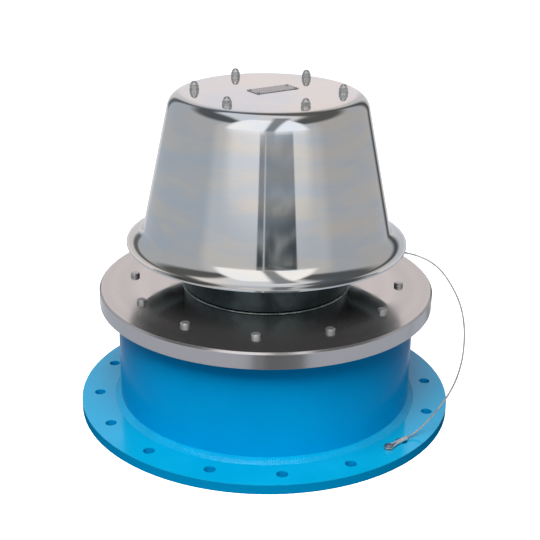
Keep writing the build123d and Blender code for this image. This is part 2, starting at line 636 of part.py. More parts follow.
# Acorn nuts: a hexagon turned down to a dome, with a blind thread
NUT_BOTTOM = HOOD_TOP_HEIGHT + HOOD_WASHER_THICKNESS
NUT_TOP = NUT_BOTTOM + NUT_HEIGHT
with BuildPart() as acorn_pattern:
    with BuildSketch(Plane.XY.offset(NUT_BOTTOM)):
        RegularPolygon(NUT_FLATS / 2, 6, major_radius=False)
    extrude(amount=NUT_HEIGHT)
    with BuildSketch(Plane.XZ):
        with BuildLine():
            corner_r = NUT_FLATS / math.sqrt(3)
            dome_r = NUT_DOME_D / 2
            dome_z = NUT_TOP - dome_r
            hex_top = NUT_BOTTOM + NUT_HEX_HEIGHT
            Polyline(
                (0, NUT_TOP),
                (0, NUT_BOTTOM),
                (corner_r - NUT_CORNER_BEVEL, NUT_BOTTOM),
                (corner_r, NUT_BOTTOM + NUT_CORNER_BEVEL / 2),
                (corner_r, hex_top - NUT_CORNER_BEVEL),
                (dome_r, hex_top),
                (dome_r, dome_z),
            )
            CenterArc((0, dome_z), dome_r, 0, 90)
        make_face()
    revolve(axis=Axis.Z, mode=Mode.INTERSECT)
    with BuildSketch(Plane.XY.offset(NUT_BOTTOM)):
        Circle(STUD_BORE_R)
    extrude(amount=NUT_THREAD_DEPTH, mode=Mode.SUBTRACT)

with BuildPart() as acorn_nuts:
    with PolarLocations(STUD_CIRCLE_R, STUD_COUNT, start_angle=STUD_START):
        add(acorn_pattern.part)
save(acorn_nuts, "acorn_nuts")

# Bare nameplate and its rivets
with BuildPart() as nameplate:
    with BuildSketch(Plane.XY.offset(HOOD_TOP_HEIGHT)):
        with Locations(Location((*PLATE_CENTRE, 0), (0, 0, PLATE_TURN))):
            RectangleRounded(PLATE_LENGTH, PLATE_WIDTH, PLATE_CORNER)
            with GridLocations(*RIVET_SPACING, 2, 2):
                Circle(RIVET_D / 2 + CLAMP_GAP, mode=Mode.SUBTRACT)
    extrude(amount=PLATE_THICKNESS)
save(nameplate, "nameplate")

with BuildPart() as nameplate_rivets:
    with BuildSketch(Plane.XY.offset(HOOD_TOP_HEIGHT - RIVET_TAIL)):
        with Locations(Location((*PLATE_CENTRE, 0), (0, 0, PLATE_TURN))):
            with GridLocations(*RIVET_SPACING, 2, 2):
                Circle(RIVET_D / 2)
    extrude(amount=RIVET_TAIL + PLATE_THICKNESS)
    with BuildSketch(Plane.XY.offset(HOOD_TOP_HEIGHT + PLATE_THICKNESS)):
        with Locations(Location((*PLATE_CENTRE, 0), (0, 0, PLATE_TURN))):
            with GridLocations(*RIVET_SPACING, 2, 2):
                Circle(RIVET_HEAD_D / 2)
    extrude(amount=RIVET_HEAD_HEIGHT)
    fillet(nameplate_rivets.edges().group_by(Axis.Z)[-1], RIVET_HEAD_HEIGHT * 0.7)
save(nameplate_rivets, "nameplate_rivets")

# Tab welded under the hood's rim, with a hole for the tether
TAB_BOTTOM = UPPER_HEIGHT - TAB_DROP
TAB_PLANE = Plane(
    origin=(ROPE_START[0], ROPE_START[1], UPPER_HEIGHT),
    x_dir=(-UPPER_DIRECTION[1], UPPER_DIRECTION[0], 0),
    z_dir=(UPPER_DIRECTION[0], UPPER_DIRECTION[1], 0),
)
with BuildPart() as tether_tab:
    with BuildSketch(TAB_PLANE):
        with Locations((0, -TAB_DROP)):
            Rectangle(
                TAB_WIDTH,
                (HOOD_RIM_BOTTOM + HOOD_RIM_TOP) / 2 - TAB_BOTTOM,
                align=(Align.CENTER, Align.MIN),
            )
        Circle(TAB_HOLE_D / 2, mode=Mode.SUBTRACT)
    extrude(amount=TAB_THICKNESS)
    upright = tether_tab.edges().filter_by(lambda edge: abs((edge @ 0).Z - (edge @ 1).Z) < TAB_CORNER)
    lowest = upright.filter_by(GeomType.LINE).group_by(Axis.Z)[0]
    fillet(lowest.sort_by(SortBy.LENGTH)[:2], TAB_CORNER)
    add(hood.part, mode=Mode.SUBTRACT)
save(tether_tab, "tether_tab")

# Stop sleeve swaged on the rope's upper end, behind the tab
with BuildPart() as tether_stop_sleeve:
    with BuildSketch(TAB_PLANE):
        Circle(SLEEVE_D / 2)
    extrude(amount=-STOP_SLEEVE_LENGTH)
    chamfer(tether_stop_sleeve.edges().filter_by(GeomType.CIRCLE), SLEEVE_EDGE)
save(tether_stop_sleeve, "tether_stop_sleeve")

# The rope: straight runs joined by tangent arcs
RADII = bend_radii(ROPE_ROUTE)
with BuildPart() as tether_rope:
    with BuildLine() as rope_path:
        FilletPolyline(*ROPE_ROUTE, radius=RADII)
    with BuildSketch(Plane(origin=ROPE_ROUTE[0], z_dir=rope_path.line % 0)):
        Circle(ROPE_D / 2)
    sweep()
save(tether_rope, "tether_rope")
print("rope bend radii", [round(radius) for radius in RADII])
rope_length = rope_path.wire().length
rope_section = math.pi * ROPE_D**2 / 4
print("rope length", round(rope_length, 1))
print("rope volume share", round(tether_rope.part.volume / (rope_length * rope_section), 4))

# Lower terminal: ferrule, and a loop of rope round the screw
EYE_PLANE = Plane(
    origin=(TETHER_EYE[0], TETHER_EYE[1], TETHER_Z),
    x_dir=(EYE_DIRECTION[0], EYE_DIRECTION[1], 0),
    z_dir=(0, 0, 1),
)
FERRULE_PLANE = Plane(
    origin=(
        TETHER_EYE[0] + EYE_TO_FERRULE * EYE_DIRECTION[0],
        TETHER_EYE[1] + EYE_TO_FERRULE * EYE_DIRECTION[1],
        TETHER_Z,
    ),
    z_dir=(EYE_DIRECTION[0], EYE_DIRECTION[1], 0),
)
with BuildPart() as tether_ferrule:
    with BuildSketch(FERRULE_PLANE):
        Circle(SLEEVE_D / 2)
    extrude(amount=FERRULE_LENGTH)
    chamfer(tether_ferrule.edges().filter_by(GeomType.CIRCLE), SLEEVE_EDGE)
save(tether_ferrule, "tether_ferrule")

leg_end = Vector(EYE_TO_FERRULE, LOOP_LEG_OFFSET)
touch_angle = math.atan2(leg_end.Y, leg_end.X) + math.acos(LOOP_R / leg_end.length)
touch = Vector(LOOP_R * math.cos(touch_angle), LOOP_R * math.sin(touch_angle))
leg_tip = leg_end + (leg_end - touch).normalized()
with BuildPart() as tether_eye_loop:
    with BuildLine(EYE_PLANE) as loop_path:
        Line((leg_tip.X, leg_tip.Y), (touch.X, touch.Y))
        ThreePointArc((touch.X, touch.Y), (-LOOP_R, 0), (touch.X, -touch.Y))
        Line((touch.X, -touch.Y), (leg_tip.X, -leg_tip.Y))
    with BuildSketch(Plane(origin=loop_path.line @ 0, z_dir=loop_path.line % 0)):
        Circle(ROPE_D / 2)
    sweep()
    split(bisect_by=FERRULE_PLANE, keep=Keep.BOTTOM)
save(tether_eye_loop, "tether_eye_loop")

# Washers above and below the loop
LOOP_TOP = TETHER_Z + ROPE_D / 2 + CLAMP_GAP
LOOP_BOTTOM = TETHER_Z - ROPE_D / 2 - CLAMP_GAP
SCREW_HEAD_BOTTOM = LOOP_TOP + TETHER_TOP_WASHER
with BuildPart() as tether_washers:
    for washer_bottom, washer_top in (
        (BASE_THICKNESS, LOOP_BOTTOM),
        (LOOP_TOP, SCREW_HEAD_BOTTOM),
    ):
        with BuildSketch(Plane.XY.offset(washer_bottom)):
            with Locations(TETHER_EYE):
                Circle(TETHER_WASHER_OD / 2)
                Circle(TETHER_SCREW_D / 2 + SCREW_GAP, mode=Mode.SUBTRACT)
        extrude(amount=washer_top - washer_bottom)
save(tether_washers, "tether_washers")

# Hexagon screw that holds the terminal down
with BuildPart() as tether_screw:
    with BuildSketch(Plane.XY.offset(SCREW_HEAD_BOTTOM)):
        with Locations(TETHER_EYE):
            Circle(TETHER_HEAD_D / 2)
    extrude(amount=TETHER_HEAD_HEIGHT)
    fillet(tether_screw.edges().group_by(Axis.Z)[-1], TETHER_HEAD_ROUNDING)
    with BuildSketch(Plane.XY.offset(BASE_THICKNESS - TETHER_SCREW_DEPTH + SCREW_GAP)):
        with Locations(TETHER_EYE):
            Circle(TETHER_SCREW_D / 2)
    extrude(amount=SCREW_HEAD_BOTTOM - BASE_THICKNESS + TETHER_SCREW_DEPTH - SCREW_GAP)
    with BuildSketch(Plane.XY.offset(SCREW_HEAD_BOTTOM + TETHER_HEAD_HEIGHT)):
        with Locations(TETHER_EYE):
            RegularPolygon(TETHER_SOCKET_FLATS / 2, 6, major_radius=False)
    extrude(amount=-TETHER_SOCKET_DEPTH, mode=Mode.SUBTRACT)
save(tether_screw, "tether_screw")
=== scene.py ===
# %% [markdown]
# An emergency vent cover stands on a storage tank's roof. Its construction comes from the packed
# model: every rigid piece is already there, at its size and in its place. This lesson adds what the
# eye sees: polished and painted finishes, a spun hood whose reflections run smoothly, weld beads
# with ripples, and a wire rope laid from strands.

# %% Load the frame
import math

import bpy
import numpy as np
from mathutils import Matrix, Vector


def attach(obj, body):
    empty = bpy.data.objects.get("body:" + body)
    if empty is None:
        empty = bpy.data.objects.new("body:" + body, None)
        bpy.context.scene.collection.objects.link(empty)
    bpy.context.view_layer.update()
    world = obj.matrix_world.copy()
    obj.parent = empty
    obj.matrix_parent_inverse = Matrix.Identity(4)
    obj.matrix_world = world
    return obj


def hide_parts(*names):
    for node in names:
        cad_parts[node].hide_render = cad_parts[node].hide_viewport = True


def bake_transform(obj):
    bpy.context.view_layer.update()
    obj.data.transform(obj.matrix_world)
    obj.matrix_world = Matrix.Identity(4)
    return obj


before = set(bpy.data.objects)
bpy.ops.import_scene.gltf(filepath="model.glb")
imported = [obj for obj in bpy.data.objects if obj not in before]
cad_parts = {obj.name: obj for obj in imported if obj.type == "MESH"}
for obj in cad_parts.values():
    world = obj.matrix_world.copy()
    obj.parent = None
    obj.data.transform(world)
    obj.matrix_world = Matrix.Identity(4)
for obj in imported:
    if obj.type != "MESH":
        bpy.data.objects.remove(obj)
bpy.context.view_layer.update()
scene = bpy.context.scene
MM = 0.001  # the shapes below are written in millimetres
print("pieces in the frame:", len(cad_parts))

# %% [markdown]
# The camera comes first, because every look is judged through it. A pinhole camera was fitted to
# the flange's holes and edges, so the render can be laid over the photograph. The focal length is
# given in pixels of the photograph and turned into millimetres on the camera's sensor.

# %% Camera
IMAGE_PIXELS = 540
FOCAL_PIXELS = 1119.94
CAMERA_PLACE = Vector((0.0, -1.82871, 0.98144))
CAMERA_PITCH = math.radians(21.879)  # down
CAMERA_YAW = math.radians(0.210)  # to the right
CAMERA_ROLL = math.radians(0.885)  # the picture leans to the right

forward = Vector((
    math.sin(CAMERA_YAW) * math.cos(CAMERA_PITCH),
    math.cos(CAMERA_YAW) * math.cos(CAMERA_PITCH),
    -math.sin(CAMERA_PITCH),
))
level_right = Vector((math.cos(CAMERA_YAW), -math.sin(CAMERA_YAW), 0.0))
level_up = level_right.cross(forward)
right = level_right * math.cos(CAMERA_ROLL) + level_up * math.sin(CAMERA_ROLL)
up = level_up * math.cos(CAMERA_ROLL) - level_right * math.sin(CAMERA_ROLL)

lens = bpy.data.cameras.new("camera")
lens.sensor_fit = "HORIZONTAL"
lens.sensor_width = 36.0
lens.lens = FOCAL_PIXELS / IMAGE_PIXELS * lens.sensor_width
camera = bpy.data.objects.new("camera", lens)
turn = Matrix((right, up, -forward)).transposed().to_4x4()
camera.matrix_world = Matrix.Translation(CAMERA_PLACE) @ turn
scene.collection.objects.link(camera)
scene.camera = camera
print("lens in mm:", round(lens.lens, 2))

# %% [markdown]
# Every new piece here is a surface worked out as a grid of points. One helper turns such a grid
# into faces: rows run along the piece and columns go round it. An open end is closed with a fan of
# triangles round one point.

# %% Helper: a grid of points becomes a mesh
def grid_faces(rows, columns, close_rows=False):
    """Four-sided faces between neighbours of a rows by columns grid, counted row by row. Each row
    closes on itself, and with close_rows the last row also meets the first."""
    row = np.arange(rows if close_rows else rows - 1)[:, None]
    column = np.arange(columns)[None, :]
    beside = (column + 1) % columns
    here = row * columns
    below = (row + 1) % rows * columns
    faces = [here + column, here + beside, below + beside, below + column]
    return np.stack(faces, axis=-1).reshape(-1, 4)


def fan(centre, ring, flip=False):
    """Triangles between a centre point and each two neighbours on a ring, all given by number."""
    after = np.roll(ring, -1)
    second, third = (after, ring) if flip else (ring, after)
    return np.stack([np.full(len(ring), centre), second, third], axis=-1)


def make_piece(name, points, faces, triangles=None, smooth=True):
    """A mesh object from points in metres and faces; triangles close its ends."""
    mesh = bpy.data.meshes.new(name)
    shapes = [face.tolist() for face in faces]
    if triangles is not None:
        shapes += [face.tolist() for face in triangles]
    mesh.from_pydata(points.reshape(-1, 3).tolist(), [], shapes)
    mesh.polygons.foreach_set("use_smooth", np.full(len(shapes), smooth))
    mesh.validate()
    piece = bpy.data.objects.new(name, mesh)
    scene.collection.objects.link(piece)
    return piece


# %% [markdown]
# A piece that was turned on a lathe or spun is its profile swept round an axis. The profile is a
# list of radius and height pairs, and the sweep multiplies them with the sines and cosines of equal
# angles.

# %% Helper: a profile swept round the vent's axis
def swept_round(name, profile, segments):
    """Surface of revolution about Z: x = r sin t, y = -r cos t, z = height, for t over a full turn.
    The profile starts and ends on the axis, and a fan of triangles closes the surface there."""
    rows = profile[1:-1]
    angle = np.linspace(0.0, 2 * math.pi, segments, endpoint=False)
    radius = rows[:, 0][:, None]
    height = np.broadcast_to(rows[:, 1][:, None], (len(rows), segments))
    points = np.stack([radius * np.sin(angle), -radius * np.cos(angle), height], axis=-1)
    points = points.reshape(-1, 3)
    poles = [[0.0, 0.0, profile[0, 1]], [0.0, 0.0, profile[-1, 1]]]
    faces = grid_faces(len(rows), segments)[:, ::-1]
    count = len(points)
    first_ring = np.arange(segments)
    last_ring = count - segments + first_ring
    fans = [fan(count, first_ring), fan(count + 1, last_ring, flip=True)]
    return make_piece(name, np.concatenate([points, poles]) * MM, faces, np.concatenate(fans))


def arc(centre, radius, start, end, steps):
    """Points on an arc round centre from one angle to another, in degrees."""
    angle = np.radians(np.linspace(start, end, steps))
    return np.stack([centre[0] + radius * np.cos(angle), centre[1] + radius * np.sin(angle)], -1)


# %% [markdown]
# The tether is a 3 mm wire rope from a tab under the hood's rim to a screw on the base flange. It
# is stiff, so it springs out in one long bow. Its route is a handful of points, and a smooth spline
# uses them as control points. The line is read back from that spline, and the strands are laid
# along it.

# %% The rope's line
ROPE_D = 3.0
ROPE_STEP = 0.8  # between two points of the line
SPLINE_STEPS = 64  # from one control point to the next
ROPE_ROUTE = np.array([
    (226.57, -45.03, 301.5),
    (251.09, -49.90, 301.5),
    (293, -66, 285),
    (323, -88, 243),
    (335, -103, 207),
    (337, -119, 167),
    (331, -134, 128),
    (316, -148, 91),
    (288, -160, 53),
    (256.28, -171.10, 21),
    (239.85, -185.73, 21),
])


def smooth_line(route, steps):
    """Points along a quadratic spline whose control points are the route, in metres."""
    curve = bpy.data.curves.new("line", "CURVE")
    curve.dimensions = "3D"
    spline = curve.splines.new("NURBS")
    spline.points.add(len(route) - 1)
    for point, place in zip(spline.points, np.asarray(route) * MM):
        point.co = (*place, 1.0)
    spline.order_u = 3
    spline.use_endpoint_u = True
    spline.resolution_u = steps
    carrier = bpy.data.objects.new("line", curve)
    mesh = bpy.data.meshes.new_from_object(carrier)
    line = np.zeros(len(mesh.vertices) * 3)
    mesh.vertices.foreach_get("co", line)
    bpy.data.objects.remove(carrier)
    bpy.data.meshes.remove(mesh)
    return line.reshape(-1, 3)


def run_along(line):
    """Distance from a line's start to each of its points, measured along the line."""
    return np.concatenate([[0.0], np.cumsum(np.linalg.norm(np.diff(line, axis=0), axis=1))])


def evenly(line, spacing):
    """The same line with points an even distance apart, and its length."""
    run = run_along(line)
    along = np.linspace(0.0, run[-1], int(round(run[-1] / spacing)) + 1)
    return np.stack([np.interp(along, run, line[:, k]) for k in range(3)], -1), run[-1]


rope_line, rope_length = evenly(smooth_line(ROPE_ROUTE, SPLINE_STEPS), ROPE_STEP * MM)
print("rope length in m:", round(rope_length, 4), "points:", len(rope_line))

# %% [markdown]
# To wind strands round a line, each point of the line needs two directions across it that don't
# spin by themselves. They are carried from point to point: each pair is the pair before it, made
# square to the line again. A strand is then a helix in those directions, and its wires are lobes on
# its skin.

# %% Helper: strands round a line
def directions_across(line):
    """Two directions across a line at each of its points; each pair follows the pair before it."""
    tangent = np.gradient(line, axis=0)
    tangent /= np.linalg.norm(tangent, axis=1, keepdims=True)
    side = np.empty_like(line)
    side[0] = np.cross(tangent[0], (0.0, 0.0, 1.0))
    side[0] /= np.linalg.norm(side[0])
    for k in range(1, len(line)):
        across = side[k - 1] - tangent[k] * (side[k - 1] @ tangent[k])
        side[k] = across / np.linalg.norm(across)
    return side, np.cross(tangent, side)


def lobed_tube(line, radius, lobes, lobe_depth, twist_length, columns):
    """Points round a line: the radius swells by a cosine once per wire, and the wires turn along it
    once per twist length. Row i, column j lies at line i plus that radius in direction j."""
    side, other = directions_across(line)
    run = run_along(line)[:, None]
    column = np.linspace(0.0, 2 * math.pi, columns, endpoint=False)[None, :]
    angle = column + 2 * math.pi * run / twist_length
    reach = radius * (1.0 + lobe_depth * np.cos(lobes * column)) * np.ones_like(angle)
    return (
        line[:, None, :]
        + side[:, None, :] * (reach * np.cos(angle))[..., None]
        + other[:, None, :] * (reach * np.sin(angle))[..., None]
    )


def tube_piece(tubes):
    """One mesh's points, faces and end fans from several tubes of points."""
    points, faces, fans = [], [], []
    count = 0
    for tube in tubes:
        rows, columns = tube.shape[:2]
        points += [tube.reshape(-1, 3), tube[0].mean(0)[None], tube[-1].mean(0)[None]]
        faces.append(count + grid_faces(rows, columns))
        ring = np.arange(columns)
        first_centre = count + rows * columns
        fans.append(fan(first_centre, count + ring, flip=True))
        fans.append(fan(first_centre + 1, first_centre - columns + ring))
        count += rows * columns + 2
    return np.concatenate(points), np.concatenate(faces), np.concatenate(fans)


WIRES = 6  # outer wires of one strand
WIRE_DEPTH = 0.1  # how far they stand out, as a share of the strand's radius


def stranded(line, diameter, strands=6, lay=20.0, columns=12):
    """Tubes of a rope: a core strand, and outer strands on a helix that goes round the line once
    per lay, in mm. The wires in a strand wind the other way."""
    side, other = directions_across(line)
    run = run_along(line)
    strand_r = diameter / 6
    helix_r = diameter / 2 - strand_r
    tubes = [lobed_tube(line, strand_r, WIRES, WIRE_DEPTH, -lay * MM / 2, columns)]
    for number in range(strands):
        angle = 2 * math.pi * (run / (lay * MM) + number / strands)
        helix = (
            line
            + side * (helix_r * np.cos(angle))[:, None]
            + other * (helix_r * np.sin(angle))[:, None]
        )
        tubes.append(lobed_tube(helix, strand_r, WIRES, WIRE_DEPTH, -lay * MM / 2.5, columns))
    return tubes


rope = make_piece("wire_rope", *tube_piece(stranded(rope_line, ROPE_D * MM)))
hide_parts("tether_rope")
print("rope faces:", len(rope.data.polygons))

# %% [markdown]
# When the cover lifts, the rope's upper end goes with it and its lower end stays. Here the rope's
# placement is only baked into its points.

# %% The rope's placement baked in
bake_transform(rope)

# %% [markdown]
# Materials are node trees. Building them by hand in Python is wordy, so one helper adds a node,
# sets its properties and feeds its sockets, from plain values or from other nodes' sockets. The
# others here put it to work for what comes up again and again.

# %% Helper: one node at a time
def node(tree, kind, feeds=None, **settings):
    """Add a node to a tree. feeds maps input names or numbers to values or to other sockets."""
    made = tree.nodes.new(kind)
    for name, value in settings.items():
        setattr(made, name, value)
    for name, value in (feeds or {}).items():
        if isinstance(value, bpy.types.NodeSocket):
            tree.links.new(value, made.inputs[name])
        else:
            made.inputs[name].default_value = value
    return made


def arithmetic(tree, operation, first, second=0.0, third=0.0):
    """A Math node's result."""
    feeds = {0: first, 1: second, 2: third}
    return node(tree, "ShaderNodeMath", feeds, operation=operation).outputs[0]


def ramp(tree, value, low, high, start=0.0, end=1.0):
    """A value mapped smoothly from low..high to start..end."""
    feeds = {"Value": value, "From Min": low, "From Max": high, "To Min": start, "To Max": end}
    made = node(tree, "ShaderNodeMapRange", feeds, interpolation_type="SMOOTHSTEP")
    return made.outputs["Result"]


def blend_colours(tree, share, first, second):
    """Colour between first and second, by a share from 0 to 1."""
    feeds = {0: share, 6: first, 7: second}  # a Mix node's colours are its inputs 6 and 7
    return node(tree, "ShaderNodeMix", feeds, data_type="RGBA").outputs[2]


def about_axis(tree, place):
    """How far a place lies from the vent's axis, and how high it lies."""
    apart = node(tree, "ShaderNodeSeparateXYZ", {0: place}).outputs
    flat = node(tree, "ShaderNodeCombineXYZ", {0: apart[0], 1: apart[1]}).outputs[0]
    radius = node(tree, "ShaderNodeVectorMath", {0: flat}, operation="LENGTH").outputs["Value"]
    return radius, apart[2]


def new_material(name):
    """A material with nodes, its tree, its main shader and the object's own coordinates."""
    material = bpy.data.materials.new(name)
    material.use_nodes = True
    tree = material.node_tree
    place = node(tree, "ShaderNodeTexCoord").outputs["Object"]
    return material, tree, tree.nodes["Principled BSDF"], place


# %% [markdown]
# Polished steel looks like its surroundings, so the studio matters more than the metal. The world
# shader here describes a tent of pale cloth by direction: panels left and right of the camera with
# a dark gap between them, grey side walls, a bright back wall, dark seams where cloths meet, and a
# dark roof. Azimuth is 0 towards the camera and grows to the right.

# %% Studio: panels as a node group
BOUNDS = ("Left", "Right", "Bottom", "Top", "Side Blur", "End Blur")


def panel_group():
    """Mask of one panel of the tent, 1 inside its bounds of azimuth and elevation, in degrees."""
    group = bpy.data.node_groups.new("tent_panel", "ShaderNodeTree")
    face = group.interface
    for name in ("Azimuth", "Elevation", *BOUNDS):
        face.new_socket(name, in_out="INPUT", socket_type="NodeSocketFloat")
    face.new_socket("Mask", in_out="OUTPUT", socket_type="NodeSocketFloat")
    given = node(group, "NodeGroupInput").outputs
    edges = []
    for value, low, high, blur in (
        ("Azimuth", "Left", "Right", "Side Blur"),
        ("Elevation", "Bottom", "Top", "End Blur"),
    ):
        for edge, sign in ((low, 1.0), (high, -1.0)):
            inside = arithmetic(group, "SUBTRACT", given[value], given[edge])
            inside = arithmetic(group, "MULTIPLY", inside, sign)
            share = arithmetic(group, "DIVIDE", inside, given[blur])
            edges.append(ramp(group, share, -0.5, 0.5))
    mask = edges[0]
    for edge in edges[1:]:
        mask = arithmetic(group, "MULTIPLY", mask, edge)
    result = node(group, "NodeGroupOutput")
    group.links.new(mask, result.inputs["Mask"])
    return group


# %% [markdown]
# Each panel is a row: its bounds and the blur of its edges in degrees, and its colour as light. A
# later panel covers an earlier one.

# %% Studio: the panels of the tent
TENT = [
    # side walls
    (-150, -40, -14, 40, 6, 12, (0.475, 0.505, 0.545, 1.0)),
    (40, 149, -14, 40, 6, 12, (0.485, 0.490, 0.505, 1.0)),
    # front, below the bright cloth
    (-58, 10, -14, 36, 14, 10, (0.62, 0.63, 0.65, 1.0)),
    (10, 58, -14, 36, 14, 10, (0.58, 0.59, 0.61, 1.0)),
    # back wall, its sides and its middle
    (-172, -153, -30, 42, 5, 22, (0.72, 0.70, 0.71, 1.0)),
    (147, 172, -30, 42, 5, 22, (0.66, 0.65, 0.66, 1.0)),
    (-185, -168, -30, 42, 8, 22, (0.90, 0.845, 0.855, 1.0)),
    (168, 185, -30, 42, 8, 22, (0.90, 0.845, 0.855, 1.0)),
    # dark seams beside the back wall
    (-157, -148, -6, 50, 6, 12, (0.15, 0.155, 0.16, 1.0)),
    (145, 155, -25, 50, 8, 10, (0.09, 0.095, 0.10, 1.0)),
    # front, a brighter band
    (-42, 10, 4.2, 16, 18, 4.5, (0.88, 0.86, 0.86, 1.0)),
    (10, 44, 3.6, 16, 16, 4.5, (0.80, 0.795, 0.79, 1.0)),
]
print("panels in the tent:", len(TENT))

# %% [markdown]
# The world's shader turns each direction into azimuth and elevation. It starts with a grey floor
# and a dark roof that is lighter in its middle, and hangs the panels over them one by one.

# %% Studio: the tent in the world's shader
GREY_FLOOR = (0.54, 0.59, 0.66, 1.0)
ROOF_EDGE = (0.11, 0.115, 0.12, 1.0)
ROOF_MIDDLE = (0.25, 0.25, 0.25, 1.0)
HORIZON = (-6.0, 0.0)  # floor below, roof above, in degrees of elevation
ROOF_FADE = (55.0, 85.0)  # degrees of elevation

world = bpy.data.worlds.new("tent")
scene.world = world
world.use_nodes = True
sky = world.node_tree
sky.nodes.clear()
direction = node(sky, "ShaderNodeSeparateXYZ", {
    0: node(sky, "ShaderNodeTexCoord").outputs["Generated"],
}).outputs
azimuth = arithmetic(sky, "DEGREES", arithmetic(
    sky, "ARCTAN2", direction[0], arithmetic(sky, "MULTIPLY", direction[1], -1.0)
))
elevation = arithmetic(sky, "DEGREES", arithmetic(sky, "ARCSINE", direction[2]))
tent_panel = panel_group()


def hang(colour, panel):
    """The tent's colour with one more panel in it."""
    *bounds, light = panel
    feeds = {"Azimuth": azimuth, "Elevation": elevation, **dict(zip(BOUNDS, bounds))}
    mask = node(sky, "ShaderNodeGroup", feeds, node_tree=tent_panel).outputs["Mask"]
    return blend_colours(sky, mask, colour, light)


roof = blend_colours(sky, ramp(sky, elevation, *ROOF_FADE), ROOF_EDGE, ROOF_MIDDLE)
tent = blend_colours(sky, ramp(sky, elevation, *HORIZON), GREY_FLOOR, roof)
for panel in TENT:
    tent = hang(tent, panel)
print("nodes so far:", len(sky.nodes))

# %% [markdown]
# One bright cloth hangs overhead. The hood's rounded shoulder mirrors it, and the cloth's slanted
# back edge gives that reflection a slanted end. Its bounds are parts of the direction's vector,
# each with the two values between which the cloth fades.

# %% Studio: the cloth overhead
CLOTH_LEFT = (-0.48, -0.34)  # as the direction's X
CLOTH_RIGHT = (0.26, 0.42)
CLOTH_BACK = (0.30, 0.46)  # as the direction's Y
CLOTH_SLANT = 0.6  # how far the back edge comes forward per unit of X
CLOTH_FOOT = (52.0, 60.0)  # degrees of elevation
CLOTH_LIGHT = (0.85, 0.85, 0.87, 1.0)

from_left = ramp(sky, direction[0], *CLOTH_LEFT)
from_right = ramp(sky, direction[0], *CLOTH_RIGHT, 1.0, 0.0)
overhead = arithmetic(sky, "MULTIPLY", from_left, from_right)
behind = arithmetic(sky, "MULTIPLY_ADD", direction[0], CLOTH_SLANT, direction[1])
overhead = arithmetic(sky, "MULTIPLY", overhead, ramp(sky, behind, *CLOTH_BACK, 1.0, 0.0))
overhead = arithmetic(sky, "MULTIPLY", overhead, ramp(sky, elevation, *CLOTH_FOOT))
tent = blend_colours(sky, overhead, tent, CLOTH_LIGHT)

# %% [markdown]
# The brightest cloth stands in front, and the dark gap for the camera runs up through it. The gap
# leans a little, so its middle moves sideways with height.

# %% Studio: the front cloth and the gap in it
FRONT = (-46, 44, 9, 74, 9, 5, (1.18, 1.18, 1.20, 1.0))
GAP_SIDE = 0.03  # the gap's middle, as the direction's X
GAP_LEVEL = 0.17  # the direction's Z where the middle has that X
GAP_LEAN = 0.15  # how far the middle moves per unit of Z
GAP_HALF = 0.105  # half its width
GAP_EDGE = (-0.05, 0.03)  # where its edges fade, counted from the half width
GAP_FOOT = (6.0, 12.0)  # degrees of elevation
GAP_LIGHT = (0.30, 0.31, 0.32, 1.0)

tent = hang(tent, FRONT)
middle_at_zero = GAP_SIDE - GAP_LEVEL * GAP_LEAN
gap_middle = arithmetic(sky, "MULTIPLY_ADD", direction[2], GAP_LEAN, middle_at_zero)
beside = arithmetic(sky, "ABSOLUTE", arithmetic(sky, "SUBTRACT", direction[0], gap_middle))
gap = ramp(sky, beside, GAP_HALF + GAP_EDGE[0], GAP_HALF + GAP_EDGE[1], 1.0, 0.0)
gap = arithmetic(sky, "MULTIPLY", gap, ramp(sky, elevation, *GAP_FOOT))
gap = arithmetic(sky, "MULTIPLY", gap, arithmetic(sky, "LESS_THAN", direction[1], 0.0))
tent = blend_colours(sky, gap, tent, GAP_LIGHT)

# %% [markdown]
# Low in the gap the hall beyond the tent shows: dark near the floor, lighter above, with pale
# blotches and one narrow bright slit. The hood's steep wall draws it out to a tall dark strip.

# %% Studio: the hall in the gap
HALL = (-8.5, 27.0, -40, 9, 1.2, 3)
HALL_LOW = (0.045, 0.057, 0.062, 1.0)
HALL_HIGH = (0.29, 0.315, 0.345, 1.0)
HALL_RISE = (2.6, 5.6)  # from low to high, in degrees of elevation
HALL_BLOTCH = (0.42, 0.44, 0.46, 1.0)
BLOTCH_STRETCH = (0.35, 0.35, 9.0)  # wide and flat
BLOTCH_SHARE = 0.75  # of the blotches' own colour, at most
SLIT = (-3.0, -1.6, -40, 12, 1.0, 3, (0.60, 0.61, 0.62, 1.0))

spread = node(sky, "ShaderNodeMapping", {
    "Vector": node(sky, "ShaderNodeTexCoord").outputs["Generated"], "Scale": BLOTCH_STRETCH,
})
blotch = node(sky, "ShaderNodeTexNoise", {
    "Vector": spread.outputs["Vector"], "Scale": 8.0, "Detail": 4.0,
})
hall_light = blend_colours(sky, ramp(sky, elevation, *HALL_RISE), HALL_LOW, HALL_HIGH)
blotches = ramp(sky, blotch.outputs["Fac"], 0.46, 0.66, 0.0, BLOTCH_SHARE)
hall_light = blend_colours(sky, blotches, hall_light, HALL_BLOTCH)
tent = hang(hang(tent, (*HALL, hall_light)), SLIT)
print("nodes in the tent's shader:", len(sky.nodes))

# %% [markdown]
# The tent as it is shows in reflections only. The camera sees plain white behind the vent, and matt
# surfaces are lit by a dimmer, bluer copy of the tent. Light paths choose between them.

# %% Studio: what each kind of ray sees
FILL = 0.6
FILL_TINT = (0.75, 1.0, 1.30)

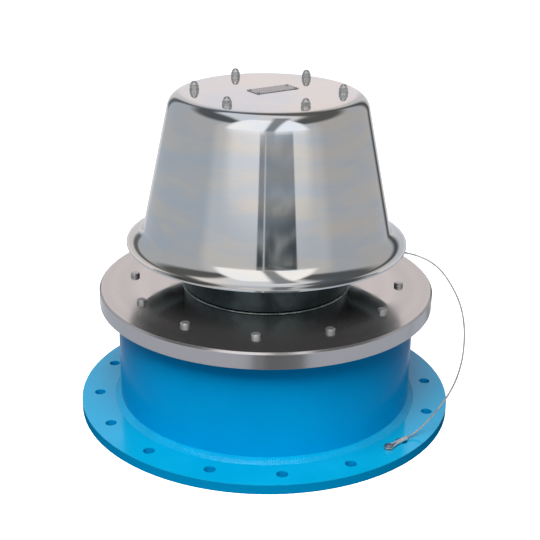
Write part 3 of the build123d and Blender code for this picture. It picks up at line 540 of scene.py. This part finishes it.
seen = node(sky, "ShaderNodeLightPath").outputs
shine = node(sky, "ShaderNodeBackground", {"Color": tent, "Strength": 1.0})
cool = node(sky, "ShaderNodeVectorMath", {0: tent, 1: FILL_TINT}, operation="MULTIPLY").outputs[0]
fill = node(sky, "ShaderNodeBackground", {"Color": cool, "Strength": FILL})
plain = node(sky, "ShaderNodeBackground", {"Color": (1.0, 1.0, 1.0, 1.0), "Strength": 1.0})
lit = node(sky, "ShaderNodeMixShader", {
    0: seen["Is Diffuse Ray"], 1: shine.outputs[0], 2: fill.outputs[0],
})
all_rays = node(sky, "ShaderNodeMixShader", {
    0: seen["Is Camera Ray"], 1: lit.outputs[0], 2: plain.outputs[0],
})
node(sky, "ShaderNodeOutputWorld", {"Surface": all_rays.outputs[0]})
scene.view_settings.view_transform = "Standard"
print("view:", scene.view_settings.view_transform)

# %% [markdown]
# One wide lamp above and in front gives the paint its top light and the soft shade under the
# flanges. It doesn't show in reflections.

# %% Studio: lamp
LAMP_SIZE = 2.2  # metres
LAMP_WATTS = 180.0
LAMP_PLACE = Vector((-0.35, -1.62, 2.9))
LAMP_AIM = Vector((0.0, 0.0, 0.1))

lamp_data = bpy.data.lights.new("top_lamp", "AREA")
lamp_data.shape = "SQUARE"
lamp_data.size = LAMP_SIZE
lamp_data.energy = LAMP_WATTS
lamp = bpy.data.objects.new("top_lamp", lamp_data)
aim = (LAMP_AIM - LAMP_PLACE).to_track_quat("-Z", "Y")
lamp.matrix_world = Matrix.Translation(LAMP_PLACE) @ aim.to_matrix().to_4x4()
lamp.visible_glossy = False
scene.collection.objects.link(lamp)
print("lamp's distance in m:", round((LAMP_AIM - LAMP_PLACE).length, 2))

# %% [markdown]
# The floor is a pale sheet with a little light of its own, so that it stays near white. Other
# pieces see it dim: the photograph's paint gets no light from below.

# %% Studio: floor
FLOOR_REACH = 12.0  # metres from its middle to a side
FLOOR_GLOW = 0.75
PALE = ((0.80, 0.80, 0.80, 1.0), (0.84, 0.84, 0.84, 1.0))
DIM = ((0.07, 0.07, 0.07, 1.0), (0.09, 0.09, 0.09, 1.0))

corners = np.array([(-1, -1, 0), (1, -1, 0), (1, 1, 0), (-1, 1, 0)]) * FLOOR_REACH
floor = make_piece("floor", corners, np.array([[0, 1, 2, 3]]), smooth=False)
floor.visible_glossy = False

floor_paint, tree, shader, place = new_material("pale_floor")
grain = node(tree, "ShaderNodeTexNoise", {"Vector": place, "Scale": 3.0, "Detail": 4.0})
tone = ramp(tree, grain.outputs["Fac"], 0.3, 0.7)
tree.links.new(blend_colours(tree, tone, *PALE), shader.inputs["Base Color"])
shader.inputs["Roughness"].default_value = 0.9
shader.inputs["Specular IOR Level"].default_value = 0.0
shader.inputs["Emission Color"].default_value = (1.0, 1.0, 1.0, 1.0)
shader.inputs["Emission Strength"].default_value = FLOOR_GLOW
dim = node(tree, "ShaderNodeBsdfDiffuse", {"Color": blend_colours(tree, tone, *DIM)})
looked_at = node(tree, "ShaderNodeLightPath").outputs["Is Camera Ray"]
surface = node(tree, "ShaderNodeMixShader", {
    0: looked_at, 1: dim.outputs[0], 2: shader.outputs[0],
})
tree.links.new(surface.outputs[0], tree.nodes["Material Output"].inputs["Surface"])
floor.data.materials.append(floor_paint)
print("floor's size in m:", 2 * FLOOR_REACH)

# %% [markdown]
# Metal that was spun or turned carries fine rings round its axis. Rings depend only on how far a
# point is from the axis and how high it lies, so noise is read at those two numbers. Metal that
# wasn't turned has an even, fine grain and some cloudiness. Both are shared groups with a height
# and a tone, and the rings add a patch.

# %% Shared effects: turned rings, cloudy grain
def effect_group(name, inputs, outputs):
    """An empty node group with number inputs, a vector called Place and named outputs."""
    group = bpy.data.node_groups.new(name, "ShaderNodeTree")
    group.interface.new_socket("Place", in_out="INPUT", socket_type="NodeSocketVector")
    for socket in inputs:
        group.interface.new_socket(socket, in_out="INPUT", socket_type="NodeSocketFloat")
    for socket in outputs:
        group.interface.new_socket(socket, in_out="OUTPUT", socket_type="NodeSocketFloat")
    return group, node(group, "NodeGroupInput").outputs, node(group, "NodeGroupOutput").inputs


def ring_group():
    """Rings about the axis: noise read at (radius, height) times a density, slightly wandering.
    Patch is a cloud that is drawn out round the axis, as heat and buffing leave on a spun sheet."""
    group, given, put = effect_group(
        "turned_rings", ("Density", "Wander"), ("Height", "Tone", "Patch")
    )
    radius, height = about_axis(group, given["Place"])
    drift = node(group, "ShaderNodeTexNoise", {
        "Vector": given["Place"], "Scale": 3.0, "Detail": 2.0,
    })
    drift = arithmetic(group, "MULTIPLY", drift.outputs["Fac"], given["Wander"])
    pair = node(group, "ShaderNodeCombineXYZ", {
        0: arithmetic(group, "ADD", radius, drift), 1: arithmetic(group, "ADD", height, drift),
    }).outputs[0]
    fine = node(group, "ShaderNodeTexNoise", {
        "Vector": pair, "Scale": given["Density"], "Detail": 4.0, "Roughness": 0.65,
    })
    sparse = arithmetic(group, "MULTIPLY", given["Density"], 0.06)
    broad = node(group, "ShaderNodeTexNoise", {"Vector": pair, "Scale": sparse, "Detail": 3.0})
    group.links.new(fine.outputs["Fac"], put["Height"])
    group.links.new(ramp(group, broad.outputs["Fac"], 0.3, 0.7), put["Tone"])
    drawn = node(group, "ShaderNodeVectorMath", {
        0: given["Place"], 1: (7.0, 7.0, 30.0),
    }, operation="MULTIPLY")
    cloud = node(group, "ShaderNodeTexNoise", {
        "Vector": drawn.outputs["Vector"], "Scale": 1.0, "Detail": 5.0, "Roughness": 0.55,
    })
    group.links.new(ramp(group, cloud.outputs["Fac"], 0.36, 0.64), put["Patch"])
    return group


def grain_group():
    """Even grain: fine noise for the height and cloudy noise for the tone."""
    group, given, put = effect_group("cloudy_grain", ("Fineness", "Cloud"), ("Height", "Tone"))
    fine = node(group, "ShaderNodeTexNoise", {
        "Vector": given["Place"], "Scale": given["Fineness"], "Detail": 3.0,
    })
    cloud = node(group, "ShaderNodeTexNoise", {
        "Vector": given["Place"], "Scale": given["Cloud"], "Detail": 5.0, "Roughness": 0.6,
    })
    group.links.new(fine.outputs["Fac"], put["Height"])
    group.links.new(ramp(group, cloud.outputs["Fac"], 0.35, 0.65), put["Tone"])
    return group


turned_rings = ring_group()
cloudy_grain = grain_group()
print("shared effects:", turned_rings.name, cloudy_grain.name)

# %% [markdown]
# A finish puts one of those effects to work: the tone moves the colour and the roughness between
# two values, and the height goes through a Bump node. A Bevel node rounds the light on the sharp
# edges of turned and sawn pieces, as a file or a polishing wheel does on the real ones.

# %% Helper: a finish from an effect
def finish_of(name, effect, settings, dark, light, rough, bump, metal=1.0, edge=0.3, **constants):
    """Material whose colour and roughness follow the effect's tone, and whose bump follows its
    height. dark and light are colours, rough is a pair with the smoother value first, bump is a
    distance in mm and edge a radius in mm. Further constants go into the shader's inputs."""
    material, tree, shader, place = new_material(name)
    look = node(
        tree, "ShaderNodeGroup", {"Place": place, **settings}, node_tree=effect, name="effect"
    )
    tone = look.outputs["Tone"]
    colour = blend_colours(tree, tone, (*dark, 1.0), (*light, 1.0))
    tree.links.new(colour, shader.inputs["Base Color"])
    tree.links.new(ramp(tree, tone, 0.0, 1.0, rough[1], rough[0]), shader.inputs["Roughness"])
    relief = node(tree, "ShaderNodeBump", {
        "Strength": 1.0, "Distance": bump * MM, "Height": look.outputs["Height"],
    })
    if edge:
        rounded = node(tree, "ShaderNodeBevel", {"Radius": edge * MM}, samples=4)
        tree.links.new(rounded.outputs["Normal"], relief.inputs["Normal"])
    tree.links.new(relief.outputs["Normal"], shader.inputs["Normal"])
    shader.inputs["Metallic"].default_value = metal
    for socket, value in constants.items():
        shader.inputs[socket.replace("_", " ")].default_value = value
    return material


# %% [markdown]
# The hood is stainless sheet, spun over a form and polished bright. The seat flange is turned and
# polished a little duller. They and the stem carry rings, and the small bright sleeve has grain.

# %% Polished and turned steel
hood_polish = finish_of(
    "hood_polish", turned_rings, {"Density": 90.0, "Wander": 0.004},
    (0.700, 0.695, 0.690), (0.735, 0.728, 0.720), (0.035, 0.065), 0.0035, edge=0,
)
flange_polish = finish_of(
    "flange_polish", turned_rings, {"Density": 420.0, "Wander": 0.0006},
    (0.550, 0.520, 0.512), (0.605, 0.570, 0.560), (0.05, 0.20), 0.0022, metal=0.958, edge=0.6,
)
bright_steel = finish_of(
    "bright_steel", cloudy_grain, {"Fineness": 700.0, "Cloud": 30.0},
    (0.60, 0.59, 0.58), (0.70, 0.69, 0.68), (0.10, 0.18), 0.002, edge=0.25,
)
stem_steel = finish_of(
    "stem_steel", turned_rings, {"Density": 900.0, "Wander": 0.0002},
    (0.62, 0.61, 0.60), (0.68, 0.67, 0.66), (0.12, 0.20), 0.001,
)
print("materials so far:", len(bpy.data.materials))

# %% [markdown]
# The fixings and the parts inside the hood are mill finish, plated or raw.

# %% Plain, plated and raw steel
mill_steel = finish_of(
    "mill_steel", cloudy_grain, {"Fineness": 900.0, "Cloud": 14.0},
    (0.50, 0.50, 0.50), (0.62, 0.62, 0.61), (0.24, 0.36), 0.004,
)
nut_steel = finish_of(
    "nut_steel", cloudy_grain, {"Fineness": 500.0, "Cloud": 60.0},
    (0.54, 0.535, 0.53), (0.66, 0.65, 0.645), (0.30, 0.38), 0.001, edge=0,
)
bolt_steel = finish_of(
    "bolt_steel", cloudy_grain, {"Fineness": 500.0, "Cloud": 40.0},
    (0.40, 0.40, 0.40), (0.54, 0.54, 0.53), (0.28, 0.40), 0.004, metal=0.84,
)
plated_steel = finish_of(
    "plated_steel", cloudy_grain, {"Fineness": 500.0, "Cloud": 40.0},
    (0.48, 0.49, 0.50), (0.63, 0.63, 0.62), (0.28, 0.40), 0.006,
)
raw_steel = finish_of(
    "raw_steel", cloudy_grain, {"Fineness": 300.0, "Cloud": 9.0},
    (0.24, 0.24, 0.25), (0.36, 0.35, 0.34), (0.38, 0.55), 0.02, edge=0.5,
)
print("materials so far:", len(bpy.data.materials))

# %% [markdown]
# Under the hood, steel mirrors other steel in the dark. Its colour is painted dark and greenish
# there, as painted shade, on the nozzle, the nozzle's bead and the hood's inside face.

# %% Steel in the hood's shade, painted dark
shaded_steel = finish_of(
    "shaded_steel", cloudy_grain, {"Fineness": 500.0, "Cloud": 16.0},
    (0.027, 0.038, 0.040), (0.052, 0.072, 0.074), (0.22, 0.34), 0.004, metal=0.9,
)
shaded_inside_steel = finish_of(
    "shaded_inside_steel", turned_rings, {"Density": 90.0, "Wander": 0.004},
    (0.105, 0.145, 0.150), (0.165, 0.215, 0.220), (0.20, 0.32), 0.004, edge=0,
)
shaded_bead_steel = finish_of(
    "shaded_bead_steel", cloudy_grain, {"Fineness": 400.0, "Cloud": 40.0},
    (0.12, 0.14, 0.135), (0.22, 0.25, 0.24), (0.25, 0.35), 0.004, edge=0,
)
print("finish in the shade:", shaded_steel.name, shaded_inside_steel.name, shaded_bead_steel.name)

# %% [markdown]
# The rope is made of drawn wires with dirt and grease between them, so it is dull and rather dark.

# %% Rope and ferrule
rope_steel = finish_of(
    "rope_steel", cloudy_grain, {"Fineness": 600.0, "Cloud": 60.0},
    (0.30, 0.295, 0.295), (0.46, 0.45, 0.445), (0.30, 0.45), 0.002, metal=0.55, edge=0,
)
ferrule_steel = finish_of(
    "ferrule_steel", cloudy_grain, {"Fineness": 400.0, "Cloud": 90.0},
    (0.50, 0.48, 0.46), (0.70, 0.68, 0.66), (0.28, 0.42), 0.01, metal=0.7,
)
print("rope's finish:", rope_steel.name, "and the ferrule's:", ferrule_steel.name)

# %% [markdown]
# The hood's polish is uneven: patches with a bluish and a brownish cast run round it. They tint the
# light that it reflects, so the colour from the rings is multiplied with a colour from the patches.

# %% Patches on the hood's polish
BLUISH_CAST = (0.90, 0.965, 1.04, 1.0)
BROWNISH_CAST = (1.05, 1.01, 0.955, 1.0)

tree = hood_polish.node_tree
shader = tree.nodes["Principled BSDF"]
even = shader.inputs["Base Color"].links[0].from_socket
patch = tree.nodes["effect"].outputs["Patch"]
cast = blend_colours(tree, patch, BLUISH_CAST, BROWNISH_CAST)
tinted = node(tree, "ShaderNodeVectorMath", {0: even, 1: cast}, operation="MULTIPLY")
tree.links.new(tinted.outputs["Vector"], shader.inputs["Base Color"])

# %% [markdown]
# Blue gloss paint has no metal in it: its shine comes from the paint film, which is slightly wavy.
# The neck's paint is a copy of that blue with painted light in it: lighter and bluer than the
# flange's, for how light falls on the neck's upright wall under the flange, and it hardly shines.
# Over the weld bead the film is rough. Gasket and seal are dull and black, and the bush is white
# plastic with turning marks.

# %% Paint, rubber and plastic finishes
blue_paint = finish_of(
    "blue_paint", cloudy_grain, {"Fineness": 130.0, "Cloud": 5.0},
    (0.0, 0.240, 0.400), (0.002, 0.265, 0.435), (0.10, 0.16), 0.012, metal=0.0, edge=1.0,
    IOR=1.65, Specular_Tint=(0.25, 0.5, 0.9, 1.0),
)
# Painted light: the neck's copy of the blue is lighter and bluer for its upright, shaded wall.
neck_paint = finish_of(
    "neck_paint", cloudy_grain, {"Fineness": 130.0, "Cloud": 5.0},
    (0.0, 0.262, 0.540), (0.0, 0.287, 0.580), (0.18, 0.24), 0.012, metal=0.0, edge=1.0,
    Specular_IOR_Level=0.02,
)
bead_paint = finish_of(
    "bead_paint", cloudy_grain, {"Fineness": 300.0, "Cloud": 9.0},
    (0.0, 0.225, 0.400), (0.0, 0.262, 0.455), (0.14, 0.22), 0.14, metal=0.0, edge=0,
    IOR=1.55, Specular_Tint=(0.5, 0.7, 0.95, 1.0),
)
gasket_black = finish_of(
    "gasket_black", cloudy_grain, {"Fineness": 1200.0, "Cloud": 25.0},
    (0.018, 0.020, 0.020), (0.040, 0.042, 0.040), (0.55, 0.75), 0.03, metal=0.0,
)
seal_rubber = finish_of(
    "seal_rubber", cloudy_grain, {"Fineness": 900.0, "Cloud": 18.0},
    (0.010, 0.010, 0.011), (0.024, 0.024, 0.024), (0.40, 0.55), 0.015, metal=0.0,
)
bush_white = finish_of(
    "bush_white", turned_rings, {"Density": 1200.0, "Wander": 0.0},
    (0.72, 0.72, 0.69), (0.80, 0.80, 0.77), (0.35, 0.45), 0.004, metal=0.0,
)
print("materials in all:", len(bpy.data.materials))

# %% [markdown]
# Below its top face, on the outer edge and in the bolt holes, the base flange's paint has no shine,
# and its blue is painted deeper there as painted shade.

# %% Dull paint and painted shade on the base flange
SHADE_AND_DULL_BELOW = 16.2  # just under the top face
HOLES_REACH = 312.0  # the holes lie nearer to the axis than this
EDGE_SHADE_BLUE = (0.0, 0.225, 0.44, 1.0)
HOLE_SHADE_BLUE = (0.0, 0.23, 0.50, 1.0)

tree = blue_paint.node_tree
shader = tree.nodes["Principled BSDF"]
from_axis, height = about_axis(tree, node(tree, "ShaderNodeTexCoord").outputs["Object"])
below = arithmetic(tree, "LESS_THAN", height, SHADE_AND_DULL_BELOW * MM)
within = arithmetic(tree, "LESS_THAN", from_axis, HOLES_REACH * MM)
in_hole = arithmetic(tree, "MULTIPLY", below, within)
top_colour = shader.inputs["Base Color"].links[0].from_socket
# Painted shade: a deeper blue on the flange's outer edge and in its holes.
painted_shade = blend_colours(tree, in_hole, EDGE_SHADE_BLUE, HOLE_SHADE_BLUE)
tree.links.new(blend_colours(tree, below, top_colour, painted_shade), shader.inputs["Base Color"])
shine = arithmetic(tree, "MULTIPLY_ADD", below, -0.5, 0.5)
tree.links.new(shine, shader.inputs["Specular IOR Level"])

# %% [markdown]
# The nameplate is brushed aluminium. Its brush marks run along the plate, which is turned on the
# hood, so a Mapping node turns the pattern to the plate's direction and stretches it.

# %% Nameplate finish
PLATE_TURN = 34.0  # degrees


def brushed_plate():
    """Aluminium with brush marks along the plate: noise that is stretched along one direction."""
    material, tree, shader, place = new_material("brushed_plate")
    turned = node(tree, "ShaderNodeMapping", {
        "Vector": place, "Rotation": (0.0, 0.0, math.radians(-PLATE_TURN)),
    }).outputs["Vector"]
    drawn = node(tree, "ShaderNodeMapping", {"Vector": turned, "Scale": (40.0, 2500.0, 40.0)})
    marks = node(tree, "ShaderNodeTexNoise", {"Vector": drawn.outputs["Vector"], "Detail": 3.0})
    tone = ramp(tree, marks.outputs["Fac"], 0.3, 0.7)
    tree.links.new(
        blend_colours(tree, tone, (0.36, 0.36, 0.37, 1.0), (0.50, 0.50, 0.50, 1.0)),
        shader.inputs["Base Color"],
    )
    tree.links.new(ramp(tree, tone, 0.0, 1.0, 0.42, 0.30), shader.inputs["Roughness"])
    relief = node(tree, "ShaderNodeBump", {"Distance": 0.003 * MM, "Height": marks.outputs["Fac"]})
    tree.links.new(relief.outputs["Normal"], shader.inputs["Normal"])
    shader.inputs["Metallic"].default_value = 1.0
    return material


plate_metal = brushed_plate()

# %% [markdown]
# The frame's own pieces keep their shapes and get these finishes in place of their plain ones.

# %% Dress the frame's pieces
DRESS = {
    nut_steel: ["acorn_nuts", "hood_washers"],
    blue_paint: ["base_flange"],
    neck_paint: ["neck_shell", "neck_top_ring", "top_ring_weld"],
    flange_polish: ["seat_flange", "seat_ring", "pallet"],
    mill_steel: [
        "guide_spider", "seal_retainer", "retainer_screws", "stem_top_washer",
        "stem_top_nut", "lift_stop_washer", "lift_stop_nut", "lift_lock_nut", "cover_studs",
        "spacer_tubes", "tether_tab",
    ],
    shaded_steel: ["nozzle"],
    bright_steel: ["tether_stop_sleeve"],
    bolt_steel: ["ring_bolts"],
    plated_steel: ["ring_bolt_washers", "tether_screw", "tether_washers"],
    raw_steel: ["weight_disc_1", "weight_disc_2"],
    stem_steel: ["guide_stem"],
    gasket_black: ["seat_gasket"],
    seal_rubber: ["seat_seal"],
    bush_white: ["guide_bush"],
    plate_metal: ["nameplate", "nameplate_rivets"],
    ferrule_steel: ["tether_ferrule"],
    rope_steel: ["tether_eye_loop"],
}


def dress(piece, material):
    """Put one material in every slot of a piece, or in a new slot."""
    if not piece.material_slots:
        piece.data.materials.append(material)
    for slot in piece.material_slots:
        slot.material = material


for material, names in DRESS.items():
    for name in names:
        dress(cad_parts[name], material)
dress(rope, rope_steel)
print("dressed:", sum(len(names) for names in DRESS.values()))

# %% [markdown]
# The hood is one sheet, spun to a flat top, a rounded shoulder, a tapered wall and a flared rim.
# Mirrors show every facet, so it is made again as a fine surface of revolution: a line and arcs
# that meet without a kink, carried down the outside, round the rolled edge and back up the inside.

# %% Hood
HOOD_TOP = 566.0
HOOD_SHEET = 3.0
HOOD_CORNER_R = 163.7
HOOD_TAPER = 0.21
HOOD_BEND_R = 30.0  # outer radius of the shoulder and of the flare
HOOD_RIM_TOP = 309.1
RIM_ROUNDING = 0.5
FLAT_STEPS = 24
WALL_STEPS = 32
RIM_STEPS = 5
HOOD_SEGMENTS = 288


def hood_face(inset, steps):
    """Profile of the sheet's outer face moved inwards by inset, from the axis to the rim: a flat,
    an arc down to the wall's slope, the straight wall, and an arc that turns out to level."""
    lean = math.atan(HOOD_TAPER)
    tilt = math.degrees(lean)
    shoulder_r = HOOD_CORNER_R - HOOD_BEND_R * math.tan((math.pi / 2 - lean) / 2)
    shoulder = arc((shoulder_r, HOOD_TOP - HOOD_BEND_R), HOOD_BEND_R - inset, 90, tilt, steps)
    flare_z = HOOD_RIM_TOP + HOOD_BEND_R
    flare_r = HOOD_CORNER_R + HOOD_TAPER * (HOOD_TOP - flare_z) + HOOD_BEND_R / math.cos(lean)
    flare = arc((flare_r, flare_z), HOOD_BEND_R + inset, 180 + tilt, 270, steps)
    flat = np.linspace((0.0, HOOD_TOP - inset), shoulder[0], FLAT_STEPS)[:-1]
    wall = np.linspace(shoulder[-1], flare[0], WALL_STEPS)[1:-1]
    return np.concatenate([flat, shoulder, wall, flare])


outer = hood_face(0.0, steps=28)
inner = hood_face(HOOD_SHEET, steps=20)[::-1]
rim_r, rim_top, rim_bottom = outer[-1, 0], outer[-1, 1], inner[0, 1]
rim_edge = np.concatenate([
    arc((rim_r - RIM_ROUNDING, rim_top - RIM_ROUNDING), RIM_ROUNDING, 90, 0, RIM_STEPS),
    arc((rim_r - RIM_ROUNDING, rim_bottom + RIM_ROUNDING), RIM_ROUNDING, 0, -90, RIM_STEPS),
])
outer, inner = outer[:-1], inner[1:]
hood = swept_round("spun_hood", np.concatenate([outer, rim_edge, inner]), HOOD_SEGMENTS)
hood.data.materials.append(hood_polish)
# The hood's inside face takes the steel with painted shade.
hood.data.materials.append(shaded_inside_steel)
outside_rows = len(outer) + len(rim_edge) - 2  # the first row of all is the pole
is_inside = np.arange(len(hood.data.polygons)) >= outside_rows * HOOD_SEGMENTS
is_inside[-2 * HOOD_SEGMENTS:-HOOD_SEGMENTS] = False  # the outer fan, in the top's middle
hood.data.polygons.foreach_set("material_index", is_inside.astype(np.int32))
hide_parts("hood")
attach(hood, "cover")
print("hood faces:", len(hood.data.polygons))

# %% [markdown]
# Welds are laid in overlapping drops. Seen close, a bead is a row of ripples with a slightly uneven
# width. The bead's cross-section is a bow between its two toes. Ripples and width are sines with
# whole numbers of waves round the seam, so that the last drop meets the first.

# %% Weld beads
def wander(angle, seed, waves):
    """A smooth closed wobble from -1 to 1: the mean of sines with the given numbers of waves, each
    with a seeded phase and strength."""
    chance = np.random.default_rng(seed)
    total = np.zeros_like(angle)
    for count in waves:
        total += np.sin(count * angle + chance.uniform(0.0, 2 * math.pi)) * chance.uniform(0.6, 1.0)
    return total / len(waves)


def weld_bead(name, wall_r, foot, rise, reach, bulge, ripples, drops, sink, segments, columns):
    """Closed bead round the axis. Across it, a parameter s goes from the upper toe to the lower
    one: the point runs along the line between the toes, pushed out by bulge times the sine of pi s.
    Along it, each drop adds a curved ripple, lumps come and go, and the toes wander. Both toes run
    on into the metal by sink, and a corner there closes the bead. All lengths are in mm."""
    turn = np.linspace(0.0, 2 * math.pi, segments, endpoint=False)[:, None]
    s = np.linspace(0.0, 1.0, columns)[None, :]
    wobble = wander(turn, 3, (7, 13, 29, 53, 88))
    wobble_low = wander(turn, 5, (9, 17, 31, 61, 94))
    top = rise * (1.0 + 0.10 * wobble)
    out = reach * (1.0 + 0.08 * wobble_low)
    bow = drops * turn - 1.2 * np.sin(math.pi * s)
    ripple = 0.5 + 0.5 * np.cos(bow)
    lumps = wander(turn, 11, (131, 167, 211, 263)) * wander(turn + 0.02 * s, 13, (97, 149, 223))
    body = np.sin(math.pi * s)
    push = bulge * (1.0 + 0.25 * wobble + 0.35 * lumps) * body + ripples * ripple * body
    radius = wall_r + out * s + push * math.sqrt(0.5)
    height = foot + top * (1.0 - s) + push * math.sqrt(0.5)
    level = np.ones((segments, 1))
    radius = np.concatenate([
        level * (wall_r - sink), radius, radius[:, -1:] + sink, level * (wall_r - sink),
    ], axis=1)
    height = np.concatenate([
        height[:, :1] + sink, height, level * (foot - sink), level * (foot - sink),
    ], axis=1)
    points = np.stack([radius * np.sin(turn), -radius * np.cos(turn), height], axis=-1)
    faces = grid_faces(segments, columns + 3, close_rows=True)
    return make_piece(name, points * MM, faces)


foot_bead = weld_bead(
    "neck_bead", wall_r=260.35, foot=17.0, rise=7.9, reach=10.8, bulge=0.7, ripples=0.35,
    drops=380, sink=0.4, segments=4180, columns=10,
)
dress(foot_bead, bead_paint)
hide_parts("neck_foot_weld")
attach(foot_bead, "base")
nozzle_bead = weld_bead(
    "nozzle_bead", wall_r=144.0, foot=226.8, rise=3.4, reach=3.4, bulge=0.6, ripples=0.25,
    drops=330, sink=0.3, segments=2640, columns=6,
)
dress(nozzle_bead, shaded_bead_steel)
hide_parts("nozzle_weld")
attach(nozzle_bead, "base")
print("bead faces:", len(foot_bead.data.polygons), len(nozzle_bead.data.polygons))
